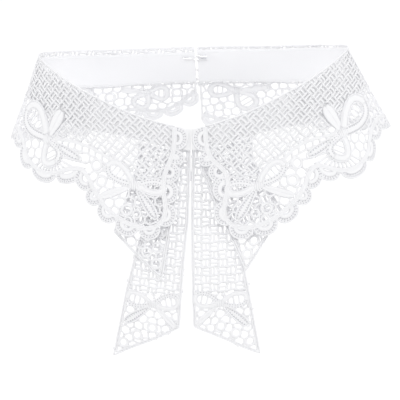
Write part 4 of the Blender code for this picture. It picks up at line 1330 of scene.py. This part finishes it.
@dataclass
class Value:
    """A number in a material that differs over the surface, for sums written as Python."""

    tree: "Tree"
    socket: Socket

    def _join(self, operation: str, a: object, b: object) -> "Value":
        """Adds a Math node on two values."""
        made = self.tree.node("ShaderNodeMath", {"operation": operation}, {0: a, 1: b})
        return Value(self.tree, made.outputs[0])

    def __add__(self, other: object) -> "Value":
        """This value and another."""
        return self._join("ADD", self, other)

    __radd__ = __add__

    def __sub__(self, other: object) -> "Value":
        """This value less another."""
        return self._join("SUBTRACT", self, other)

    def __rsub__(self, other: object) -> "Value":
        """Another value less this one."""
        return self._join("SUBTRACT", other, self)

    def __mul__(self, other: object) -> "Value":
        """This value times another."""
        return self._join("MULTIPLY", self, other)

    __rmul__ = __mul__

    def __pow__(self, other: object) -> "Value":
        """This value to a power."""
        return self._join("POWER", self, other)

    def sine(self) -> "Value":
        """The sine of this value."""
        return self._join("SINE", self, 0.0)

    def above(self, other: object) -> "Value":
        """Whether this value is larger than another, as 1 or 0."""
        return self._join("GREATER_THAN", self, other)


@dataclass
class Tree:
    """The nodes of one material."""

    material: Finish

    @classmethod
    def named(cls, name: str) -> "Tree":
        """A new material with a plain surface shader."""
        material = bpy.data.materials.new(name)
        material.use_nodes = True
        return cls(material)

    @property
    def surface(self) -> bpy.types.Node:
        """The surface shader."""
        return self.material.node_tree.nodes["Principled BSDF"]

    def node(self, kind: str, settings: dict[str, object],
             sockets: dict[object, object]) -> bpy.types.Node:
        """Adds a node.

        Args:
            kind: The node's type.
            settings: Its settings.
            sockets: The values or links of its sockets, by name or number.

        Returns:
            The node.
        """
        made = self.material.node_tree.nodes.new(kind)
        for name, value in settings.items():
            setattr(made, name, value)
        for name, value in sockets.items():
            self.feed(made.inputs[name], value)
        return made

    def feed(self, socket: Socket, value: object) -> None:
        """Sets a socket to a value or links it."""
        if isinstance(value, Value):
            value = value.socket
        if isinstance(value, Socket):
            self.material.node_tree.links.new(value, socket)
        else:
            socket.default_value = value

    def place(self, kind: str) -> Socket:
        """The places on the surface, of a kind that Blender names."""
        return self.node("ShaderNodeTexCoord", {}, {}).outputs[kind]

    def noise(self, scale: float, detail: float) -> Value:
        """A cloudy value from 0 to 1, over the object."""
        sockets = {"Vector": self.place("Object"), "Scale": scale, "Detail": detail}
        return Value(self, self.node("ShaderNodeTexNoise", {}, sockets).outputs["Fac"])

    def spread(self) -> tuple[Value, Value]:
        """The distances along and across the piece, from its own map."""
        made = self.node("ShaderNodeSeparateXYZ", {}, {0: self.place("UV")})
        return Value(self, made.outputs[0]), Value(self, made.outputs[1])

    def attribute(self, name: str) -> Value:
        """A number that the piece's points carry."""
        made = self.node("ShaderNodeAttribute", {"attribute_name": name}, {})
        return Value(self, made.outputs["Fac"])

    def set_surface(self, sockets: dict[str, object]) -> None:
        """Sets or links sockets of the surface shader, by name."""
        for name, value in sockets.items():
            self.feed(self.surface.inputs[name], value)

    def blend(self, share: Value, *colours: object) -> Socket:
        """Mixes two colours, each of them three numbers or a link."""
        a, b = (c if isinstance(c, Socket) else (*c, 1.0) for c in colours)
        made = self.node("ShaderNodeMix", {"data_type": "RGBA"}, {0: share, 6: a, 7: b})
        return made.outputs[2]

    def tint(self, share: Value, dark: Sequence[float], light: Sequence[float]) -> None:
        """Mixes the surface's colour between two colours."""
        self.set_surface({"Base Color": self.blend(share, dark, light)})

    def bump(self, height: Value, strength: float, distance: float) -> None:
        """Raises the surface by a height."""
        sockets = {"Strength": strength, "Distance": distance, "Height": height}
        self.set_surface({"Normal": self.node("ShaderNodeBump", {}, sockets).outputs[0]})


@dataclass(frozen=True)
class CottonThread:
    """White cotton thread: stitches lie side by side across each cord; painted shade darkens the cords'
    sides, undersides and pin holes.
    """

    name: str = "cotton_thread"
    # Painted shade: the dark colour goes on the sides and undersides of the cords and the light colour
    # on their tops, as light falls; the pit colour is painted shade in the pin holes.
    dark: Colour = (0.71, 0.715, 0.765)
    light: Colour = (0.95, 0.95, 0.965)
    pit_shade: Colour = (0.5, 0.5, 0.54)
    pin_step: float = 1.75
    stitch: float = 0.42
    roughness: float = 0.62
    sheen: float = 0.25

    def make(self) -> Finish:
        """Makes the material."""
        tree = Tree.named(self.name)
        along, _ = tree.spread()
        cloud, fuzz = tree.noise(900.0, 3.0), tree.noise(4200.0, 2.0)
        stitches = ((along + cloud * 0.25) * (TURN / self.stitch)).sine() * 0.5 + 0.5
        # Painted shade: the share of the light colour follows each point's painted light, with the
        # stitches' own stripes mixed in.
        share = tree.attribute("painted_crest_light") ** 0.7 * 0.8 + stitches * 0.2
        # Painted shade: along pin-hole cords, dark dots at each pin step stand for the shade in the pin
        # holes.
        row = (along * (TURN / self.pin_step)).sine() * 2.0
        thread = tree.blend(share, self.dark, self.light)
        tree.set_surface({"Base Color": tree.blend(tree.attribute("pits") * row, thread, self.pit_shade),
                          "Roughness": self.roughness, "Sheen Weight": self.sheen,
                          "Sheen Roughness": 0.4})
        tree.bump(stitches * 0.65 + fuzz * 0.5, 0.55, 0.00006)
        return tree.material


@dataclass(frozen=True)
class BandCloth:
    """Plain white woven cloth, with painted shade on the band's inner face and painted light on its
    outer face.
    """

    name: str = "plain_weave"
    dark: Colour = (0.87, 0.872, 0.905)
    light: Colour = (0.975, 0.975, 0.985)
    yarn: float = 0.42
    roughness: float = 0.8

    def make(self) -> Finish:
        """Makes the material."""
        tree = Tree.named(self.name)
        along, down = tree.spread()
        turn = TURN / self.yarn
        weave = (along * turn).sine() * (down * turn).sine() * 0.5 + 0.5
        cloud, fuzz = tree.noise(60.0, 4.0), tree.noise(3000.0, 2.0)
        # Painted light and shade: the outer face, where the map's second number is above zero, takes
        # the light colour and the inner face the darker one; weave and cloud add the cloth's own tone.
        tree.tint(weave * 0.2 + cloud * 0.25 + down.above(0.0) * 0.55, self.dark, self.light)
        tree.bump(weave * 0.6 + fuzz * 0.5, 0.5, 0.00005)
        tree.set_surface({"Roughness": self.roughness, "Sheen Weight": 0.2})
        return tree.material


@dataclass(frozen=True)
class DullWire:
    """Plated wire of the hook and the eye, with light wear."""

    name: str = "dull_wire"

    def make(self) -> Finish:
        """Makes the material."""
        tree = Tree.named(self.name)
        worn = tree.noise(500.0, 3.0)
        tree.tint(worn, (0.84, 0.84, 0.85), (0.94, 0.94, 0.94))
        tree.set_surface({"Roughness": worn * 0.2 + 0.28, "Metallic": 1.0})
        return tree.material


@dataclass
class Studio:
    """The plain pale floor, the soft light and the camera."""

    azimuth: float = 2.9516
    elevation: float = 20.8711
    roll: float = -2.2349
    distance: float = 1.25355
    lens: float = 178.694
    target: tuple[float, float, float] = (0.00113, 0.0, -0.09683)
    floor_z: float = -0.62
    floor_half: float = 12.0
    sky: float = 0.25
    gamma: float = 1.5

    def build(self) -> None:
        """Makes all of the studio."""
        self.floor()
        self.camera()
        self.light("front", (0.0, -1.5, 1.7), 1.2, 25.0)
        self.light("left", (-1.6, -0.5, 0.35), 0.4, 9.0)
        self.light("right", (1.5, -0.65, 0.4), 0.4, 9.0)
        self.light("behind", (0.0, 1.9, 1.1), 3.0, 48.0, (0.0, 1.9, -0.6))
        world = bpy.data.worlds.new("studio")
        world.use_nodes = True
        sky = world.node_tree.nodes["Background"].inputs
        sky["Color"].default_value = (1.0, 1.0, 1.0, 1.0)
        sky["Strength"].default_value = self.sky
        bpy.context.scene.world = world
        bpy.context.scene.view_settings.view_transform = "Standard"
        bpy.context.scene.view_settings.gamma = self.gamma

    def floor(self) -> None:
        """Lays the floor."""
        made = bmesh.new()
        bmesh.ops.create_grid(made, x_segments=1, y_segments=1, size=self.floor_half)
        bmesh.ops.translate(made, verts=made.verts, vec=(0.0, 0.0, self.floor_z))
        data = bpy.data.meshes.new("floor")
        made.to_mesh(data)
        made.free()
        floor = linked("floor", data)
        tree = Tree.named("pale_floor")
        tree.tint(tree.noise(2.0, 2.0), (0.955, 0.955, 0.96), (0.975, 0.975, 0.975))
        tree.set_surface({"Roughness": 0.9})
        data.materials.append(tree.material)

    def camera(self) -> None:
        """Places the camera at the picture's viewing angle."""
        azimuth, elevation, roll = (math.radians(a) for a in (self.azimuth, self.elevation, self.roll))
        back = Vector((math.sin(azimuth) * math.cos(elevation),
                       -math.cos(azimuth) * math.cos(elevation), math.sin(elevation)))
        level = Vector((0.0, 0.0, 1.0)).cross(back).normalized()
        upright = back.cross(level)
        right = level * math.cos(roll) + upright * math.sin(roll)
        up = upright * math.cos(roll) - level * math.sin(roll)
        data = bpy.data.cameras.new("camera")
        data.lens = self.lens
        data.sensor_width = 36.0
        data.clip_end = 60.0
        camera = bpy.data.objects.new("camera", data)
        bpy.context.scene.collection.objects.link(camera)
        turned = Matrix((right, up, back)).transposed().to_4x4()
        camera.matrix_world = Matrix.Translation(Vector(self.target) + back * self.distance) @ turned
        bpy.context.scene.camera = camera

    def light(self, name: str, place: tuple[float, float, float], size: float, power: float,
              toward: tuple[float, float, float] | None = None) -> None:
        """Adds a soft lamp.

        Args:
            name: The lamp's name.
            place: Where it stands.
            size: The side of its square.
            power: Its power in watts.
            toward: Where it points, or None for the collar.
        """
        data = bpy.data.lights.new(name, "AREA")
        data.size = size
        data.energy = power
        lamp = bpy.data.objects.new(name, data)
        bpy.context.scene.collection.objects.link(lamp)
        away = Vector(place) - Vector(toward or self.target)
        turned = away.to_track_quat("Z", "Y").to_matrix().to_4x4()
        lamp.matrix_world = Matrix.Translation(place) @ turned


def report(piece: Piece) -> None:
    """Logs what a piece has."""
    faces = sum(len(p.vertices) - 2 for p in piece.data.polygons)
    LOG.info("%s: %d triangles", piece.name, faces)


def sheet(outline: Array) -> None:
    """Works out the sides of the rectangle round a cut at turns of 3 degrees, and the cut's area,
    without keeping them.

    Args:
        outline: The outline of the cut.
    """
    for turn in np.radians(np.arange(0, 180, 3)):
        c, s = math.cos(turn), math.sin(turn)
        turned = outline @ np.array([[c, -s], [s, c]])
        (turned.max(axis=0) - turned.min(axis=0)) * MM
    float(flat_area(outline)) * MM**2


def main() -> None:
    """Builds the collar, part by part."""
    logging.basicConfig(level=logging.INFO, format="%(message)s")
    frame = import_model()
    Studio().build()
    thread, cloth, wire = CottonThread().make(), BandCloth().make(), DullWire().make()
    for half in Half:
        neck_band = NeckBand(half)
        band, stitches = neck_band.build(cloth, thread)
        sewing = Closure().build(half, thread)
        form = Form(half)
        along = np.arange(0.0, form.length, 2.0)
        low = neck_band.depth(along)
        cut = np.vstack([form.flat(along, 0.0), form.flat(along[::-1], low[::-1])])
        sheet(cut)
        lace, outline = LaceHalf(half).build(thread)
        sheet(outline)
        for piece in (band, stitches, sewing, lace):
            report(piece)
    for tail in TAILS:
        piece, outline = LaceTail(tail).build(thread)
        sheet(outline)
        report(piece)
    for name in ("hook", "eye"):
        node = frame["nodes"][name]
        for slot in node.material_slots:
            slot.material = wire


if __name__ == "__main__":
    main()
